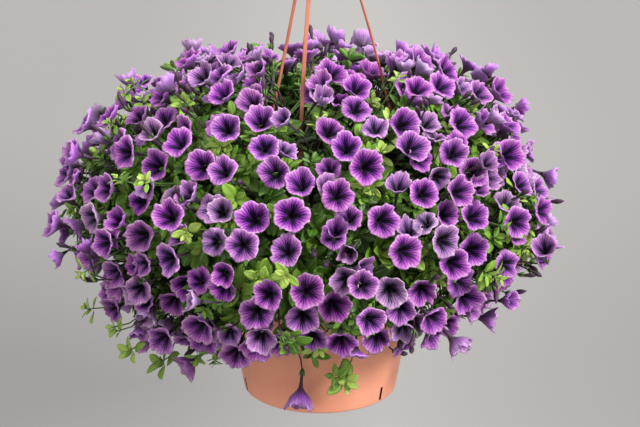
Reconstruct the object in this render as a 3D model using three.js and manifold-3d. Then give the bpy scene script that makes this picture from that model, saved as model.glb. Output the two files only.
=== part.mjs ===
// Petunia hanging basket: a moulded plastic pot of soil on a three-legged hanger, with a wide
// mound of trailing petunias.  Millimetres, +Z up, the front towards -Y.
// Everything is built round the centre of the pot's underside.  The whole group is then lowered,
// so that its origin is the point inside the hook where the basket hangs.
// Azimuths are in degrees round the pot from the front, positive towards +X.
import * as THREE from "three";
import { mergeVertices } from "three/addons/utils/BufferGeometryUtils.js";
import Module from "manifold-3d";

const wasm = await Module();
wasm.setup();

// ---------- driving dimensions ----------
const CLEARANCE = 0.3; // between separate pieces that touch
const HANGING_HEIGHT = 710; // from the pot's underside to the bearing point in the hook
const SEED = 45;

const POT = {
  height: 165,
  baseRadius: 100,
  topRadius: 128,
  wall: 2,
  baseRounding: 3.5,
  rimRadius: 135,
  rimSkirt: 12,
  sides: 36,
};
const POT_SLOT = { width: 3, height: 18.6, bottom: 4, azimuths: [50, 170, -70] };

const LEG = {
  width: 5,
  thickness: 2.4,
  radiusAtHead: 8.5,
  radiusAtRim: 130.6,
  barbWidth: 8,
  barbHeight: 5,
  barbBelowRim: 11.5,
  steps: 8,
};
// How far each leg bows at half height: out from the axis, and sideways.
const LEGS = [
  { name: "hanger_leg_front", azimuth: -10, bowOut: 0, bowSide: -9.5 },
  { name: "hanger_leg_right", azimuth: 110, bowOut: 15, bowSide: 0 },
  { name: "hanger_leg_left", azimuth: -130, bowOut: -3, bowSide: 0 },
];
const HEAD = { radius: 15, bottom: 646, height: 18, neck: 8, socketDepth: 16, sides: 18 };
const HOOK = { rod: 5, bowl: 28, sides: 6 };

const SOIL = { edge: 150, crown: 154, holeDepth: 20, holeWidth: 10.4 };

const MOUND = {
  centre: 235, // height of its widest level
  radius: 310,
  leftward: 17, // how far it leans to the left at its widest level, and more below it
  drawIn: 0.3, // how much narrower it becomes below its widest level
  rise: 230,
  drop: 215,
  hollow: 45, // the middle of the top sits lower, round the hanger
  hollowRadius: 115,
  lump: 9,
};

const SPRAYS = { count: 24, firstTurn: 20, reach: 0.6 };
const LEAFY_STEMS = { count: 22, firstTurn: 95, reach: 0.7 };
const STEM = { foot: 2.6, tip: 2.2, sides: 4, steps: 5, fromLeg: 12 };
const STALK = { root: 0.9, end: 2, fromLegs: 5 };
const BLOOM = {
  diameter: 49,
  tube: 34,
  funnel: 15,
  throat: 11,
  faceDepth: 6,
  lobes: 5,
  spacing: [32.5, 45], // in front, where they crowd most, and at the back
  gap: 1.5, // between the rim of one and the face of another
  darts: 5200,
};
// Blooms face out of the mound, and besides a little up, to the front, where the light comes
// from, and outward at the top.
const LEAN = { up: 0.12, outward: 0.55, front: 0.3, wobble: 0.6 };
// Someone in front sees the legs over the growth, down to these heights: front, right, left.
const VIEW = { eye: [0, -2100, 900], legsDownTo: [343, 376, 375], parts: 4, beside: 3 };
// Leaves are larger than life, so that a few cover the mound between the blooms.
const LEAF = { length: 48, width: 26, arch: 4 };
const TUFT = {
  leaves: 4,
  depth: 24,
  spacing: 56,
  fromBlooms: 26,
  count: 64,
  darts: 9000,
  turnPerShift: 400,
};

// Blooms and tufts that hang below the mound: azimuth, distance from the axis, height, and how
// steeply they face downwards.
const HANGING_BLOOMS = [
  [-10.5, 137, 38, 2], // the one in front of the pot
  [-59, 195, 67, 0.5],
  [-75, 231, 88, 0.2],
  [60, 199, 95, 0.7],
];
const HANGING_TUFTS = [
  [10, 141, 68, 0.6],
  [-2, 140, 98, 0.6],
  [-57, 176, 58, 0.5],
  [-66, 214, 62, 0.4],
];

// ---------- small tools ----------
const up = new THREE.Vector3(0, 0, 1);
const { degToRad: radians, radToDeg: degrees, lerp, clamp } = THREE.MathUtils;

const outward = (azimuth) =>
  new THREE.Vector3(Math.sin(radians(azimuth)), -Math.cos(radians(azimuth)), 0);
const sideways = (azimuth) =>
  new THREE.Vector3(Math.cos(radians(azimuth)), Math.sin(radians(azimuth)), 0);
const at = (azimuth, radius, height) => outward(azimuth).multiplyScalar(radius).setZ(height);
const beyond = (point, direction, distance) =>
  point.clone().addScaledVector(direction, distance);

// The turn from one azimuth to another, between -180 and 180.
const turnBetween = (from, to) => ((to - from + 540) % 360) - 180;

// Seeded draws between 0 and 1.
function drawer(seed) {
  let state = seed;
  return () => {
    state = (state + 0x6d2b79f5) >>> 0;
    let t = Math.imul(state ^ (state >>> 15), state | 1);
    t ^= t + Math.imul(t ^ (t >>> 7), t | 61);
    return ((t ^ (t >>> 14)) >>> 0) / 4294967296;
  };
}

// A closed three.js geometry as a solid that can be joined and cut.
function solid(geometry) {
  const bare = geometry.clone();
  bare.deleteAttribute("normal");
  bare.deleteAttribute("uv");
  const merged = mergeVertices(bare, 1e-4);
  return new wasm.Manifold(
    new wasm.Mesh({
      numProp: 3,
      vertProperties: merged.attributes.position.array,
      triVerts: new Uint32Array(merged.index.array),
    }),
  );
}

// A solid as a named mesh with its own material.
function piece(name, body, look) {
  const { vertProperties, triVerts } = body.getMesh();
  const geometry = new THREE.BufferGeometry()
    .setAttribute("position", new THREE.BufferAttribute(vertProperties, 3))
    .setIndex(new THREE.BufferAttribute(triVerts, 1));
  geometry.computeVertexNormals();
  const mesh = new THREE.Mesh(geometry, new THREE.MeshStandardMaterial(look));
  mesh.name = name;
  return mesh;
}

// A box whose sides face outward, sideways and up at an azimuth round the pot.
function boxAt(azimuth, radius, height, [deep, wide, tall]) {
  const geometry = new THREE.BoxGeometry(wide, deep, tall).rotateZ(radians(azimuth));
  const { x, y } = at(azimuth, radius, 0);
  return solid(geometry.translate(x, y, height));
}

// A profile of [radius, height] points turned round the pot's axis.
function turned(profile, sides) {
  const points = profile.map(([r, z]) => new THREE.Vector2(r, z));
  return solid(new THREE.LatheGeometry(points, sides).rotateX(Math.PI / 2));
}

// The closed skin over a row of rings, each a list of points that runs the same way round.
// Rings may differ in number of points.  One point is a tip, and an end ring is closed flat.
function skin(rings) {
  const corners = rings.flat();
  const faces = [];
  let first = 0;
  for (let k = 0; k + 1 < rings.length; k++) {
    const [here, next] = [rings[k].length, rings[k + 1].length];
    const second = first + here;
    let [i, j] = [0, 0];
    while (i < here || j < next) {
      const a = first + (i % here);
      const b = second + (j % next);
      if (j >= next || (i < here && (i + 1) * next <= (j + 1) * here)) {
        i++;
        if (here > 1) faces.push(a, first + (i % here), b);
      } else {
        j++;
        if (next > 1) faces.push(a, second + (j % next), b);
      }
    }
    first = second;
  }
  for (let i = 1; i + 1 < rings[0].length; i++) faces.push(0, i + 1, i);
  for (let i = 1; i + 1 < rings.at(-1).length; i++) faces.push(first, first + i, first + i + 1);
  const geometry = new THREE.BufferGeometry().setFromPoints(corners);
  geometry.setIndex(faces);
  return solid(geometry);
}

// Points round an axis, each given as [turn, radius, rise along the axis].  The turns are in
// degrees, counted from the direction nearest to `toward`.
function around(centre, axis, toward, list) {
  const x = toward.clone().projectOnPlane(axis).normalize();
  const y = axis.clone().cross(x).normalize();
  return list.map(([turn, radius, rise = 0]) =>
    centre
      .clone()
      .addScaledVector(x, radius * Math.cos(radians(turn)))
      .addScaledVector(y, radius * Math.sin(radians(turn)))
      .addScaledVector(axis, rise),
  );
}

// Evenly spaced points of one radius and rise, for `around`.
const even = (count, radius, rise = 0) =>
  Array.from({ length: count }, (_, i) => [(360 * i) / count, radius, rise]);

// The direction of a row of points at one of them.
const directionAt = (points, i) =>
  points[Math.min(i + 1, points.length - 1)].clone().sub(points[Math.max(i - 1, 0)]).normalize();

// A tapering round stem through points, from `thick` to `thin` in radius.
function stem(points, thick, thin, sides) {
  let toward = sideways(0).add(up);
  const rings = points.map((point, i) => {
    const radius = lerp(thick, thin, i / (points.length - 1));
    const ring = around(point, directionAt(points, i), toward, even(sides, radius));
    toward = ring[0].clone().sub(point);
    return ring;
  });
  return skin(rings);
}

// ---------- pot ----------
// One moulding: flat base, tapering wall, and a flanged rim with a short skirt.  It has three
// slots low in the wall, and a slot in the flange for each leg of the hanger.
const wallAt = (height) => lerp(POT.baseRadius, POT.topRadius, height / POT.height);

function makePot() {
  const { height, wall, baseRadius, baseRounding, rimRadius, rimSkirt } = POT;
  const underRim = height - wall;
  let pot = turned(
    [
      [0, 0],
      [baseRadius - baseRounding, 0],
      [baseRadius - baseRounding * 0.3, baseRounding * 0.3],
      [wallAt(baseRounding), baseRounding],
      [wallAt(underRim), underRim],
      [rimRadius - wall, underRim],
      [rimRadius - wall, height - rimSkirt],
      [rimRadius, height - rimSkirt],
      [rimRadius, height - 1],
      [rimRadius - 1, height],
      [wallAt(height) - wall + 1, height],
      [wallAt(height) - wall, height - 1],
      [wallAt(wall) - wall, wall],
      [0, wall],
    ],
    POT.sides,
  );
  for (const azimuth of POT_SLOT.azimuths) {
    const middle = POT_SLOT.bottom + POT_SLOT.height / 2;
    const size = [5 * wall, POT_SLOT.width, POT_SLOT.height];
    pot = pot.subtract(boxAt(azimuth, wallAt(middle) - wall / 2, middle, size));
  }
  for (const { azimuth } of LEGS) {
    const size = [LEG.thickness + 2 * CLEARANCE, LEG.width + 2 * CLEARANCE, 3 * wall];
    pot = pot.subtract(boxAt(azimuth, LEG.radiusAtRim, height, size));
  }
  return pot;
}

// ---------- hanger ----------
// A flat strip through points, its width along `side`.
function strip(points, side) {
  const width = side.clone().multiplyScalar(LEG.width / 2);
  const rings = points.map((point, i) => {
    const depth = directionAt(points, i).cross(side).setLength(LEG.thickness / 2);
    return [
      point.clone().add(width).add(depth),
      point.clone().sub(width).add(depth),
      point.clone().sub(width).sub(depth),
      point.clone().add(width).sub(depth),
    ];
  });
  return skin(rings);
}

// From its socket in the head a leg runs down, slightly bowed, then straight through the rim.
function legPath({ azimuth, bowOut, bowSide }) {
  const top = at(azimuth, LEG.radiusAtHead, HEAD.bottom - 6);
  const foot = at(azimuth, LEG.radiusAtRim, POT.height + 8);
  const bow = outward(azimuth).multiplyScalar(bowOut);
  bow.addScaledVector(sideways(azimuth), bowSide);
  const path = [at(azimuth, LEG.radiusAtHead, HEAD.bottom + HEAD.socketDepth - 1)];
  for (let i = 0; i <= LEG.steps; i++) {
    const t = i / LEG.steps;
    path.push(beyond(top.clone().lerp(foot, t), bow, Math.sin(Math.PI * t)));
  }
  path.push(at(azimuth, LEG.radiusAtRim, POT.height - LEG.barbBelowRim - LEG.barbHeight / 2));
  return path;
}

const legPaths = LEGS.map(legPath);

// How far a point is from the nearest leg.
function legDistance(point) {
  const onLeg = new THREE.Vector3();
  const distances = legPaths.flatMap((path) =>
    path.slice(1).map((end, i) => {
      new THREE.Line3(path[i], end).closestPointToPoint(point, true, onLeg);
      return onLeg.distanceTo(point);
    }),
  );
  return Math.min(...distances);
}

// Points along the parts of the legs that stay in view.
const legPointsInView = [];
legPaths.forEach((path, index) => {
  for (let i = 1; i < path.length; i++) {
    for (let k = 0; k < VIEW.parts; k++) {
      const point = path[i - 1].clone().lerp(path[i], k / VIEW.parts);
      if (point.z > VIEW.legsDownTo[index]) legPointsInView.push(point);
    }
  }
});

// Whether a disc would hide a leg from someone in front.
function hidesLeg(centre, facing, radius) {
  const eye = new THREE.Vector3(...VIEW.eye);
  return legPointsInView.some((point) => {
    const sight = eye.clone().sub(point);
    const t = centre.clone().sub(point).dot(facing) / sight.dot(facing);
    return t > 0 && beyond(point, sight, t).distanceTo(centre) < radius + VIEW.beside;
  });
}

// A leg with the barb that holds it under the rim's flange.
function makeLeg({ azimuth }, index) {
  const size = [LEG.thickness, LEG.barbWidth, LEG.barbHeight];
  const barb = boxAt(azimuth, LEG.radiusAtRim, POT.height - LEG.barbBelowRim, size);
  return strip(legPaths[index], sideways(azimuth)).add(barb);
}

// The head is a small turned knob with a socket underneath for each leg.  The hook rises from it.
function makeHook() {
  const top = HEAD.bottom + HEAD.height;
  let head = turned(
    [
      [0, HEAD.bottom],
      [HEAD.radius - 1.5, HEAD.bottom],
      [HEAD.radius, HEAD.bottom + 1.5],
      [HEAD.radius, top - 5],
      [HEAD.radius - 2.5, top - 1],
      [4, top],
      [HOOK.rod / 2 + 0.4, top + HEAD.neck],
      [0, top + HEAD.neck],
    ],
    HEAD.sides,
  );
  for (const { azimuth } of LEGS) {
    const socket = [
      LEG.thickness + 2 * CLEARANCE,
      LEG.width + 2 * CLEARANCE,
      2 * HEAD.socketDepth,
    ];
    head = head.subtract(boxAt(azimuth, LEG.radiusAtHead, HEAD.bottom, socket));
  }
  return head.add(makeHookRod(top));
}

// The rod swings out to one side, goes over the bearing point in a round bowl and ends in a
// short lip turned away from it.
function makeHookRod(headTop) {
  const arc = (HOOK.bowl + HOOK.rod) / 2;
  const centre = HANGING_HEIGHT - HOOK.bowl / 2;
  const route = [
    [0, headTop - 2],
    [0, headTop + 5],
    [arc * 0.35, headTop + 13],
    [arc * 0.8, centre - arc * 0.6],
  ];
  for (let turn = -12; turn <= 192; turn += 20.4) {
    route.push([arc * Math.cos(radians(turn)), centre + arc * Math.sin(radians(turn))]);
  }
  route.push([-arc * 1.06, centre - arc * 0.5]);
  const points = route.map(([x, z]) => new THREE.Vector3(x, 0, z));
  return stem(points, HOOK.rod / 2, HOOK.rod / 2, HOOK.sides);
}

// ---------- the mound ----------
// A point on the mound at an azimuth and a level, -1 at its lowest and 1 at its top.  Two slow
// waves round it keep it from being a plain ellipsoid.
function moundAt(azimuth, level) {
  const a = radians(azimuth);
  const swell = Math.sin(3 * a + 1) + Math.sin(5 * a + 2 + 3 * level);
  const lean = MOUND.leftward * (1 - level) * Math.sin(a);
  const narrowing = 1 + MOUND.drawIn * Math.min(0, level);
  const reach = (MOUND.radius + MOUND.lump * swell - lean) * narrowing;
  const radius = reach * Math.sqrt(1 - level * level);
  const dip = MOUND.hollow * Math.exp(-((radius / MOUND.hollowRadius) ** 2));
  const height = level > 0 ? MOUND.rise * level - dip : MOUND.drop * level;
  return at(azimuth, radius, MOUND.centre + height);
}

// The way that the mound faces there.
function moundFacing(azimuth, level) {
  const flat = Math.sqrt(1 - level * level) / MOUND.radius;
  return outward(azimuth).multiplyScalar(flat).setZ(level / MOUND.rise).normalize();
}

// How low it hangs: lowest at the front left, highest over the front of the pot.
function lowestLevel(azimuth) {
  const near = (centre, width) => Math.exp(-((turnBetween(centre, azimuth) / width) ** 2));
  return -0.56 + 0.15 * near(0, 38) - 0.14 * near(-66, 26) + 0.08 * near(85, 40);
}

// ---------- shoots ----------
// A family of shoots, evenly spread over the mound by the golden angle.
function fan({ count, firstTurn }) {
  return Array.from({ length: count }, (_, k) => ({
    azimuth: besideLegs(((k * 137.508 + firstTurn) % 360) - 180),
    level: lerp(-0.42, 0.93, (k + 0.5) / count),
  }));
}

// An azimuth turned aside from any leg that it is too close to.
function besideLegs(azimuth) {
  const leg = LEGS.find((l) => Math.abs(turnBetween(l.azimuth, azimuth)) < STEM.fromLeg);
  if (!leg) return azimuth;
  return leg.azimuth + (turnBetween(leg.azimuth, azimuth) < 0 ? -1 : 1) * STEM.fromLeg;
}

// A shoot stands upright in the soil, then arches out into the mound as a row of straight
// pieces.  The low shoots stand nearest the rim, so that none crosses another.
function shoot(azimuth, level, reach) {
  const inMound = new THREE.Vector3(0, 0, 200).lerp(moundAt(azimuth, level), reach);
  const footRadius = lerp(98, 16, (level + 0.55) / 1.5);
  const foot = at(azimuth, footRadius, SOIL.edge - SOIL.holeDepth + 1);
  const collar = at(azimuth, footRadius, SOIL.crown + 4);
  const out = outward(azimuth);
  const curve = new THREE.CubicBezierCurve3(
    collar,
    beyond(beyond(collar, up, 50), out, 4),
    beyond(beyond(inMound, out, -30), up, 45 - 105 * Math.max(0, level)),
    inMound,
  );
  const points = [foot, ...curve.getPoints(STEM.steps)];
  const path = new THREE.CurvePath();
  points.slice(1).forEach((end, i) => path.add(new THREE.LineCurve3(points[i], end)));
  return { points, path };
}

// The shoot of a family whose end in the mound is nearest to a point.
function nearestShoot(family, point) {
  const gaps = family.map((s) => moundAt(s.azimuth, s.level).distanceTo(point));
  return gaps.indexOf(Math.min(...gaps));
}

// What a shoot carries, in order from its middle to its tip, each with its place on it.
function carriedBy(family, index, things, tip) {
  const own = things.filter((thing) => nearestShoot(family, thing.centre) === index);
  own.sort((a, b) => b.centre.distanceTo(tip) - a.centre.distanceTo(tip));
  return own.map((thing, rank) => ({
    thing,
    along: lerp(0.5, 0.985, own.length > 1 ? rank / (own.length - 1) : 1),
  }));
}

// ---------- blooms ----------
// Points on a bloom's rim and along its tube.
function bloomOutline({ centre, facing, size }) {
  const rim = around(centre, facing, up.clone().cross(facing), even(8, size));
  const tube = [0, 0.5, 1].map((t) => beyond(centre, facing, -t * BLOOM.tube));
  return [...rim, ...tube];
}

// Whether the rim of one bloom comes into the face of another.
function meet(bloom, other) {
  if (bloom.centre.distanceTo(other.centre) > bloom.size + other.size + BLOOM.gap) return false;
  return bloomOutline(bloom).some((point) => {
    const from = point.clone().sub(other.centre);
    const height = from.dot(other.facing) + BLOOM.faceDepth / 2;
    const radius = from.projectOnPlane(other.facing).length();
    return Math.abs(height) < BLOOM.faceDepth / 2 + BLOOM.gap && radius < other.size + BLOOM.gap;
  });
}

// How close together blooms may stand at an azimuth.
const spacingAt = (azimuth) => lerp(...BLOOM.spacing, 0.5 - 0.5 * Math.cos(radians(azimuth)));

// Blooms are scattered over the mound, no two closer than their spacing and none on a leg.
function scatterBlooms() {
  const draw = drawer(SEED);
  const flatness = MOUND.rise / MOUND.radius;
  const blooms = [];
  for (let i = 0; i < BLOOM.darts; i++) {
    const azimuth = 360 * draw() - 180;
    const level = lerp(-0.72, 0.995, draw());
    const keep = draw();
    const crowd = spacingAt(azimuth) * lerp(0.85, 1.4, draw());
    const depth = lerp(-22, 12, draw());
    const wobble = new THREE.Vector3(draw() - 0.5, draw() - 0.5, draw() - 0.5);
    const size = (BLOOM.diameter / 2) * lerp(0.84, 1.03, draw());
    const turn = 72 * draw();
    const ruffle = draw();
    const slope = Math.sqrt(flatness ** 2 + (1 - flatness ** 2) * level ** 2);
    if (keep > slope || level < lowestLevel(azimuth)) continue;
    const site = moundAt(azimuth, level);
    if (blooms.some((b) => b.site.distanceTo(site) < crowd)) continue;
    const facing = moundFacing(azimuth, level);
    const centre = beyond(site, facing, depth);
    facing.addScaledVector(up, LEAN.up).addScaledVector(wobble, LEAN.wobble);
    facing.addScaledVector(outward(azimuth), LEAN.outward * Math.max(0, level));
    facing.addScaledVector(outward(0), LEAN.front).normalize();
    const bloom = { site, centre, facing, size, turn, ruffle };
    if (hidesLeg(centre, facing, size)) continue;
    if (blooms.some((b) => meet(bloom, b) || meet(b, bloom))) continue;
    if (bloomOutline(bloom).every((p) => legDistance(p) > STALK.fromLegs)) blooms.push(bloom);
  }
  return blooms;
}

// What hangs below the mound faces outward and down.
function hang([azimuth, radius, height, down], draw) {
  return {
    centre: at(azimuth, radius, height),
    facing: outward(azimuth).addScaledVector(up, -down).normalize(),
    size: BLOOM.diameter * 0.47,
    turn: 72 * draw,
    ruffle: draw,
  };
}

// Three points round a bloom's stalk or tube, for `around`, each in the middle of its share of
// the ten points of the rim.
const threeEdges = (radius, rise = 0) => [36, 162, 270].map((angle) => [angle, radius, rise]);

// One bloom on its straight stalk, as one skin: stalk, tube, funnel, ruffled five-lobed rim and
// the pit of the throat.
function makeBloom({ centre, facing, size, turn, ruffle }, root) {
  const toward = up.clone().cross(facing).applyAxisAngle(facing, radians(turn));
  const tubeEnd = beyond(centre, facing, -BLOOM.tube);
  const stalk = tubeEnd.clone().sub(root).normalize();
  const rim = even(2 * BLOOM.lobes, size).map(([angle, radius], i) =>
    i % 2
      ? [angle, 0.88 * radius, 1.2]
      : [angle, radius, -1.6 + 1.6 * Math.sin(3 * i + 6 * ruffle)],
  );
  return skin([
    around(root, stalk, toward, threeEdges(STALK.root)),
    around(tubeEnd, facing, toward, threeEdges(STALK.end)),
    around(centre, facing, toward, threeEdges(size * 0.34, -BLOOM.funnel)),
    around(centre, facing, toward, rim),
    [beyond(centre, facing, -BLOOM.throat)],
  ]);
}

// Whether a point is clear of the hanger's legs and outside the pot's wall and rim.
function isFree(point) {
  const radius = Math.hypot(point.x, point.y);
  const byRim = point.z > POT.height - POT.rimSkirt - 4;
  const holder = byRim ? POT.rimRadius : wallAt(point.z);
  const overPot = point.z > POT.height + 4;
  return legDistance(point) > STALK.fromLegs && (overPot || radius > holder + 4);
}

// A bloom on a stem: at its own place, or moved along the stem and out of or into the mound
// until its stalk runs clear of the pot and the hanger and it touches no other stem.
function placeBloom(bloom, path, along, others) {
  for (const lift of [0, 6, -6, 12, -12]) {
    const centre = beyond(bloom.centre, bloom.facing, lift);
    const tubeEnd = beyond(centre, bloom.facing, -BLOOM.tube);
    for (const shift of [0, -0.05, 0.05, -0.1, 0.1, -0.2, 0.2, -0.3, 0.3, 0.4, 0.5]) {
      const root = path.getPoint(clamp(along + shift, 0.3, 0.985));
      const samples = Array.from({ length: 25 }, (_, i) => root.clone().lerp(tubeEnd, i / 24));
      if (!samples.every(isFree)) continue;
      const body = makeBloom({ ...bloom, centre }, root);
      if (isClear(body, others)) return body;
    }
  }
  throw new Error("no clear place for a bloom");
}

// Whether a solid keeps its distance from all the others.
const isClear = (body, others) => others.every((other) => body.minGap(other, 1) > CLEARANCE);

// Flowering stems with their blooms.  All the bare stems are there first, so that no bloom
// stands in the way of one.
function makeSprays() {
  const shoots = sprayFan.map(({ azimuth, level }) => shoot(azimuth, level, SPRAYS.reach));
  const bodies = shoots.map(({ points }) => stem(points, STEM.foot, STEM.tip, STEM.sides));
  shoots.forEach(({ points, path }, index) => {
    const others = [pot, ...legs, ...bodies.filter((_, k) => k !== index)];
    const carried = carriedBy(sprayFan, index, blooms, points.at(-1));
    const grown = carried.map(({ thing, along }) => placeBloom(thing, path, along, others));
    bodies[index] = plain(wasm.Manifold.union([bodies[index], ...grown]));
  });
  return shoots.map(({ points }, k) => ({ foot: points[0], body: bodies[k] }));
}

// A joined solid without the slivers that joining leaves.
const plain = (body) => body.asOriginal().simplify(0.05);

// ---------- leafy stems ----------
// Tufts of leaves fill the gaps between the blooms.
function scatterTufts() {
  const draw = drawer(SEED + 1);
  const tufts = HANGING_TUFTS.map((place, k) => ({
    ...hang(place, 0),
    draw: 0.1 + 0.2 * k,
  }));
  for (let i = 0; i < TUFT.darts && tufts.length < TUFT.count; i++) {
    const azimuth = 360 * draw() - 180;
    const level = lerp(-0.8, 0.99, draw());
    const lift = lerp(-10, 8, draw());
    const turn = 360 * draw();
    if (level < lowestLevel(azimuth) - 0.08) continue;
    const site = moundAt(azimuth, level);
    if (blooms.some((b) => b.centre.distanceTo(site) < TUFT.fromBlooms)) continue;
    if (tufts.some((t) => t.centre.distanceTo(site) < TUFT.spacing)) continue;
    const facing = moundFacing(azimuth, level);
    if (legDistance(site) < 0.8 * LEAF.length) continue;
    if (hidesLeg(site, facing, LEAF.length / 2)) continue;
    const centre = beyond(site, facing, lift - TUFT.depth);
    tufts.push({ centre, facing, turn, draw: draw() });
  }
  return tufts;
}

// The points of one leaf round its tuft: the notch beside it, its two shoulders and its tip.
function leafOutline(i, leaves, turn, draw) {
  const middle = turn + ((i + 0.15 * Math.sin(9 * draw + 2 * i)) * 360) / leaves;
  const rise = radians(lerp(18, 52, (Math.sin(7 * i + 40 * draw) + 1) / 2));
  const length = LEAF.length * lerp(0.78, 1.1, (Math.sin(5 * i + 70 * draw) + 1) / 2);
  const [reach, lift] = [length * Math.cos(rise), length * Math.sin(rise)];
  const shoulder = 0.62;
  const across = degrees(Math.atan(LEAF.width / 2 / (shoulder * length)));
  return [
    [middle - 180 / leaves, 2.4],
    [middle - across, shoulder * reach, shoulder * lift + LEAF.arch],
    [middle, reach, lift],
    [middle + across, shoulder * reach, shoulder * lift + LEAF.arch],
  ];
}

// A tuft on its twig, as one skin: twig, undersides and arched upper sides of its leaves.
function makeTuft({ centre, facing, turn, draw }, root) {
  const toward = up.clone().cross(facing);
  const twig = centre.clone().sub(root).normalize();
  const leaves = TUFT.leaves + (draw > 0.5 ? 1 : 0);
  const outline = Array.from({ length: leaves }, (_, i) => leafOutline(i, leaves, turn, draw));
  const neck = even(3, 1.3, -2.6).map(([angle, radius, rise]) => [angle + turn, radius, rise]);
  return skin([
    around(root, twig, toward, even(3, STALK.root)),
    around(centre, facing, toward, neck),
    around(centre, facing, toward, outline.flat()),
    [beyond(centre, facing, 1.6)],
  ]);
}

// A leafy stem, turned aside until it runs clear of the others.
function makeLeafyStem({ azimuth, level }, index, others) {
  for (const turn of [0, 4, -4, 8, -8, 12, -12]) {
    const { points, path } = shoot(azimuth + turn, level, LEAFY_STEMS.reach);
    const bare = stem(points, STEM.foot, STEM.tip, STEM.sides);
    if (isClear(bare, others)) {
      const carried = carriedBy(leafyFan, index, tufts, points.at(-1));
      return { foot: points[0], body: addTufts(bare, path, carried, others) };
    }
  }
  throw new Error("no clear way for leafy stem " + index);
}

// Adds tufts to a stem, each shifted along it or out of the mound until it touches nothing else.
function addTufts(bare, path, carried, others) {
  return carried.reduce((body, { thing, along }) => {
    for (const shift of [0, -0.07, 0.07, -0.15, 0.15, -0.25, 0.25]) {
      const root = path.getPoint(clamp(along + shift, 0.3, 0.985));
      for (const lift of [0, -8, 8, -16]) {
        const centre = beyond(thing.centre, thing.facing, lift);
        const turn = thing.turn + TUFT.turnPerShift * shift;
        const tuft = makeTuft({ ...thing, centre, turn }, root);
        const grown = body.add(tuft);
        if (isClear(tuft, others) && grown.decompose().length === 1) return grown;
      }
    }
    return body;
  }, bare);
}

// ---------- soil ----------
// The soil fills the pot nearly to the rim, with a plain hole for the foot of each stem.
function makeSoil(feet) {
  const inside = (height) => wallAt(height) - POT.wall - CLEARANCE - 0.1;
  const bottom = POT.wall + CLEARANCE;
  let soil = turned(
    [
      [0, bottom],
      [inside(bottom), bottom],
      [inside(SOIL.edge), SOIL.edge],
      [60, SOIL.crown - 1],
      [0, SOIL.crown],
    ],
    POT.sides,
  );
  const radius = SOIL.holeWidth / 2;
  for (const { x, y } of feet) {
    const hole = new THREE.CylinderGeometry(radius, radius, 2 * SOIL.holeDepth, 4);
    hole.rotateX(Math.PI / 2).translate(x, y, SOIL.edge);
    soil = soil.subtract(solid(hole));
  }
  return soil;
}

// ---------- assembly ----------
const terracotta = { color: 0xd9916f, roughness: 0.45, metalness: 0 };
const earth = { color: 0x3a2a20, roughness: 1, metalness: 0 };
const violet = { color: 0x9a5cb4, roughness: 0.7, metalness: 0 };
const green = { color: 0x5c8a3c, roughness: 0.7, metalness: 0 };

const sprayFan = fan(SPRAYS);
const leafyFan = fan(LEAFY_STEMS);
const blooms = [
  ...scatterBlooms(),
  ...HANGING_BLOOMS.map((place, k) => hang(place, 0.2 + 0.2 * k)),
];
const tufts = scatterTufts();

const pot = makePot();
const legs = LEGS.map(makeLeg);
const sprays = makeSprays();
const placed = [pot, ...legs, ...sprays.map(({ body }) => body)];
const leafyStems = leafyFan.map((direction, index) => {
  const made = makeLeafyStem(direction, index, placed);
  made.body = plain(made.body);
  placed.push(made.body);
  return made;
});
const feet = [...sprays, ...leafyStems].map(({ foot }) => foot);
const numbered = (name, index) => name + "_" + String(index + 1).padStart(2, "0");

const basket = new THREE.Group();
basket.position.z = -HANGING_HEIGHT;
basket.add(piece("pot", pot, terracotta));
basket.add(piece("potting_soil", makeSoil(feet), earth));
basket.add(piece("hanger_hook", makeHook(), terracotta));
LEGS.forEach(({ name }, k) => basket.add(piece(name, legs[k], terracotta)));
sprays.forEach(({ body }, k) => basket.add(piece(numbered("flower_spray", k), body, violet)));
leafyStems.forEach(({ body }, k) => basket.add(piece(numbered("leafy_stem", k), body, green)));

const part = new THREE.Group();
part.name = "petunia_hanging_basket";
part.add(basket);
export default part;
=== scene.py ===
import bpy
import numpy as np
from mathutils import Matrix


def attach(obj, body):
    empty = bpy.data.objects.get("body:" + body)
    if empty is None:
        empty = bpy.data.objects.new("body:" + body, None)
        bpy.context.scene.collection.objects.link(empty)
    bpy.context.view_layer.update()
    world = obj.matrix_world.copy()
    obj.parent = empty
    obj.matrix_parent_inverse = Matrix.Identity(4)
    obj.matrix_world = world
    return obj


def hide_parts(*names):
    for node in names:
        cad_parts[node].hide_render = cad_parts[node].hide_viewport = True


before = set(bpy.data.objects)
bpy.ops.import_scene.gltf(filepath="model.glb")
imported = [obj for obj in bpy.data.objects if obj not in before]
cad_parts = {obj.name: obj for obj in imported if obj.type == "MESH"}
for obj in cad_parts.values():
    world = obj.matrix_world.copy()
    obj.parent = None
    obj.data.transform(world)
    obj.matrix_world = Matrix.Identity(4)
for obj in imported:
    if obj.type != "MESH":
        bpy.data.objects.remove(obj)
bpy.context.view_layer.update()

# ---------- Camera ----------
# Straight in front of the basket, 2.1 m from the line of the hanger and a little above the
# blooms, looking 17.9 degrees down through a long lens.
camera = bpy.data.objects.new("camera", bpy.data.cameras.new("camera"))
bpy.context.scene.collection.objects.link(camera)
bpy.context.scene.camera = camera
camera.location = (0, -2.109, 0.207)
camera.rotation_euler = (np.radians(72.1), 0, 0)
camera.data.sensor_width = 36
camera.data.lens = 97

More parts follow.
